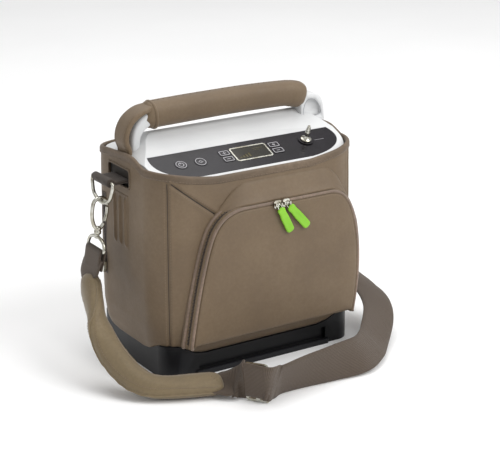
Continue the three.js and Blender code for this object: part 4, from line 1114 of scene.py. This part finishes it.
def build_pad():
    """Padded shoulder pad, puffed up by cloth pressure and held close to its first shape."""
    frames = frames_along(PAD_ROUTE, 110)

    def section(t):
        end = min(t, 1 - t) / 0.09
        fullness = 0.2 + 0.8 * math.sqrt(1 - (1 - end) ** 2) if end < 1 else 1
        rounder, slack = 5 * (1 - smoothstep(t, 0.35, 0.6)), 0.9
        width, thick = (41 - rounder) * slack, (19 + rounder) * slack
        return oval(width * (0.25 + 0.75 * fullness), thick * fullness, 36, 2.1)
    pad = make("pad_body", skin(sweep(frames, section)), PAD, ["shoulder_pad"])
    remesh = pad.modifiers.new("even", "REMESH")
    remesh.mode, remesh.voxel_size = "VOXEL", 0.0045
    applied(pad)
    start, swell, steps = [v.co.copy() for v in pad.data.vertices], 0.003, 20
    cloth = pad.modifiers.new("swell", "CLOTH")
    cloth.settings.use_pressure = True
    cloth.settings.uniform_pressure_force = 4
    cloth.settings.effector_weights.gravity = 0
    cloth.point_cache.frame_start, cloth.point_cache.frame_end = 1, steps
    for number in range(1, steps + 1):
        scene.frame_set(number)
    applied(pad)
    for vertex, was in zip(pad.data.vertices, start):
        move = vertex.co - was
        if move.length > swell:
            vertex.co = was + move.normalized() * swell
    scene.frame_set(1)
    subdivided(pad)
    applied(pad)

    tree = BVHTree.FromObject(pad, bpy.context.evaluated_depsgraph_get())

    def on_pad(point, lift):
        hit, normal, _, _ = tree.find_nearest(point / 1000)
        return hit * 1000 + normal * lift
    for name, aside in (("pad_piping_front", -26), ("pad_piping_back", 26)):
        path = [on_pad(p + across * aside, 0.2) for _, p, across, _ in frames[3:-3:2]]
        make(name, rod(path, 0.95, 240, 10), PAD)
    spots = []
    for aside in (-16.5, 16.5):
        for (_, p, across, face), (_, q, _, _) in zip(frames[4:-5], frames[5:-4]):
            spots += [(on_pad(p + across * aside + face * up, 0.12), q - p) for up in (-14, 14)]
    # A cross of stitches on both faces near each end.
    for index in (6, 104):
        _, p, across, face = frames[index]
        ahead = (frames[index + 1][1] - p).normalized()
        for run in (across + ahead, across - ahead):
            spots += [(on_pad(p + run * k + face * up, 0.15), run) for k in (-3, 0, 3) for up in (-14, 14)]
    stitches("pad_stitches", spots, 0.3, 2.1)


def build_strap():
    ribbon("strap_short", SHORT_WEB, 240, ["strap_upper", "strap_lower"],
           covered=(2, 1 + len(PAD_ROUTE)))
    ribbon("strap_main", LONG_WEB, 260, ["strap_long"])
    # The webbing folds over each eye's bar and is sewn back on itself.
    turns, flat, radius, hang, width = 26, 6, 3.1, 22, 36
    for side, sign in (("left", -1), ("right", 1)):
        bar = Vector((sign * -EYE_X, GRIP_Y, EYE_Z))
        rows = []
        for i in range(turns + 1):
            if i < flat:
                out, up = radius, -hang + hang * i / flat
            elif i > turns - flat:
                out, up = -radius, -hang * (i - turns + flat) / flat
            else:
                a = math.pi * (i - flat) / (turns - 2 * flat)
                out, up = radius * math.cos(a), radius * math.sin(a)
            drop = max(0, -up)
            middle = bar + Vector((out * (1 - 0.35 * drop / hang) + sign * 0.16 * drop, 0.12 * drop, up))
            rows.append([middle + Vector((0, (k / 8 - 0.5) * width, 0)) for k in range(9)])
        uvs = [(k * 0.0045 + 0.1, i * 0.0035) for i in range(turns + 1) for k in range(9)]
        fold = make(f"strap_fold_{side}", skin(rows, around=False), WEBBING, uvs=uvs)
        thickened(fold, 1.6)


build_case()
for side in ("left", "right"):
    build_ribs(side)
build_pocket()
build_side_zip()
build_key_marks()
build_barb()
build_handle()
build_sleeve()
for side in ("left", "right"):
    build_metal(side)
build_pad()
build_strap()

for look, bevel, *nodes in (
        (BLACK, 1.4, "base_tray"), (MATT_BLACK, 0.5, "rear_vent", "fan_housing", "battery_pack", "dc_inlet"),
        (WHITE, 1.3, "top_housing"), (WHITE, 0.5, "product_tank"), (PANEL, 0.25, "control_panel"),
        (PANEL, 0.3, "barb_seat"), (KEYCAP, 0.25, *KEYS), (SCREEN, 0, "lcd_window"),
        (METAL, 0.2, "lcd_frame"), (METAL, 0.5, "zip_slider_left", "zip_slider_right", "side_zip_slider"),
        (METAL, 0.8, "tri_glide"), (GREY, 0.5, "inner_housing_front", "inner_housing_rear", "fan_impeller"),
        (ALLOY, 0.5, "compressor", "sieve_bed_left", "sieve_bed_right", "valve_manifold"),
        (BOARD, 0.5, "main_board"), (FOAM, 0.5, "intake_filter")):
    carry(look, bevel, *nodes)


# ---------- studio ----------
def build_studio():
    scene.view_settings.view_transform = "Standard"
    look = Look("floor_look")
    look.set("Base Color", look.ramp(look.noise(3, 2), (0.3, (250, 250, 250)), (0.7, (253, 253, 253))))
    look.rough(look.noise(40, 2), 0.55, 0.65)
    reach = 9000
    floor = bare("floor", [(-reach, -reach, 0), (reach, -reach, 0), (reach, reach, 0), (-reach, reach, 0)],
                 [(0, 1, 2, 3)])
    floor.data.materials.append(look.material)
    world = bpy.data.worlds.new("studio")
    scene.world = world
    world.use_nodes = True
    background = world.node_tree.nodes["Background"]
    background.inputs["Color"].default_value = (1, 1, 1, 1)
    background.inputs["Strength"].default_value = 0.56

    def placed(name, data, place, facing):
        thing = bpy.data.objects.new(name, data)
        thing.location = place
        thing.rotation_mode = "QUATERNION"
        thing.rotation_quaternion = facing.to_track_quat("-Z", "Y")
        scene.collection.objects.link(thing)
        return thing

    def lamp(name, place, aim, size, power):
        data = bpy.data.lights.new(name, "AREA")
        data.shape, data.size, data.energy = "DISK", size, power
        placed(name, data, place, Vector(aim) - Vector(place))
    lamp("key", (1.3, -2.0, 2.1), (0, 0, 0.12), 2.2, 58)
    lamp("fill", (-2.3, -0.9, 1.3), (0, 0, 0.1), 1.6, 4)
    lamp("top", (0.2, 0.5, 2.4), (0, 0, 0.2), 2.4, 30)

    target = Vector((0.0345, 0, 0.1215))
    azimuth, elevation, distance = math.radians(-32.5), math.radians(19.35), 1.945
    back = Vector((math.sin(azimuth) * math.cos(elevation), -math.cos(azimuth) * math.cos(elevation),
                   math.sin(elevation)))
    data = bpy.data.cameras.new("camera")
    data.sensor_width, data.lens = 36, 116.35
    scene.camera = placed("camera", data, target + back * distance, -back)


build_studio()
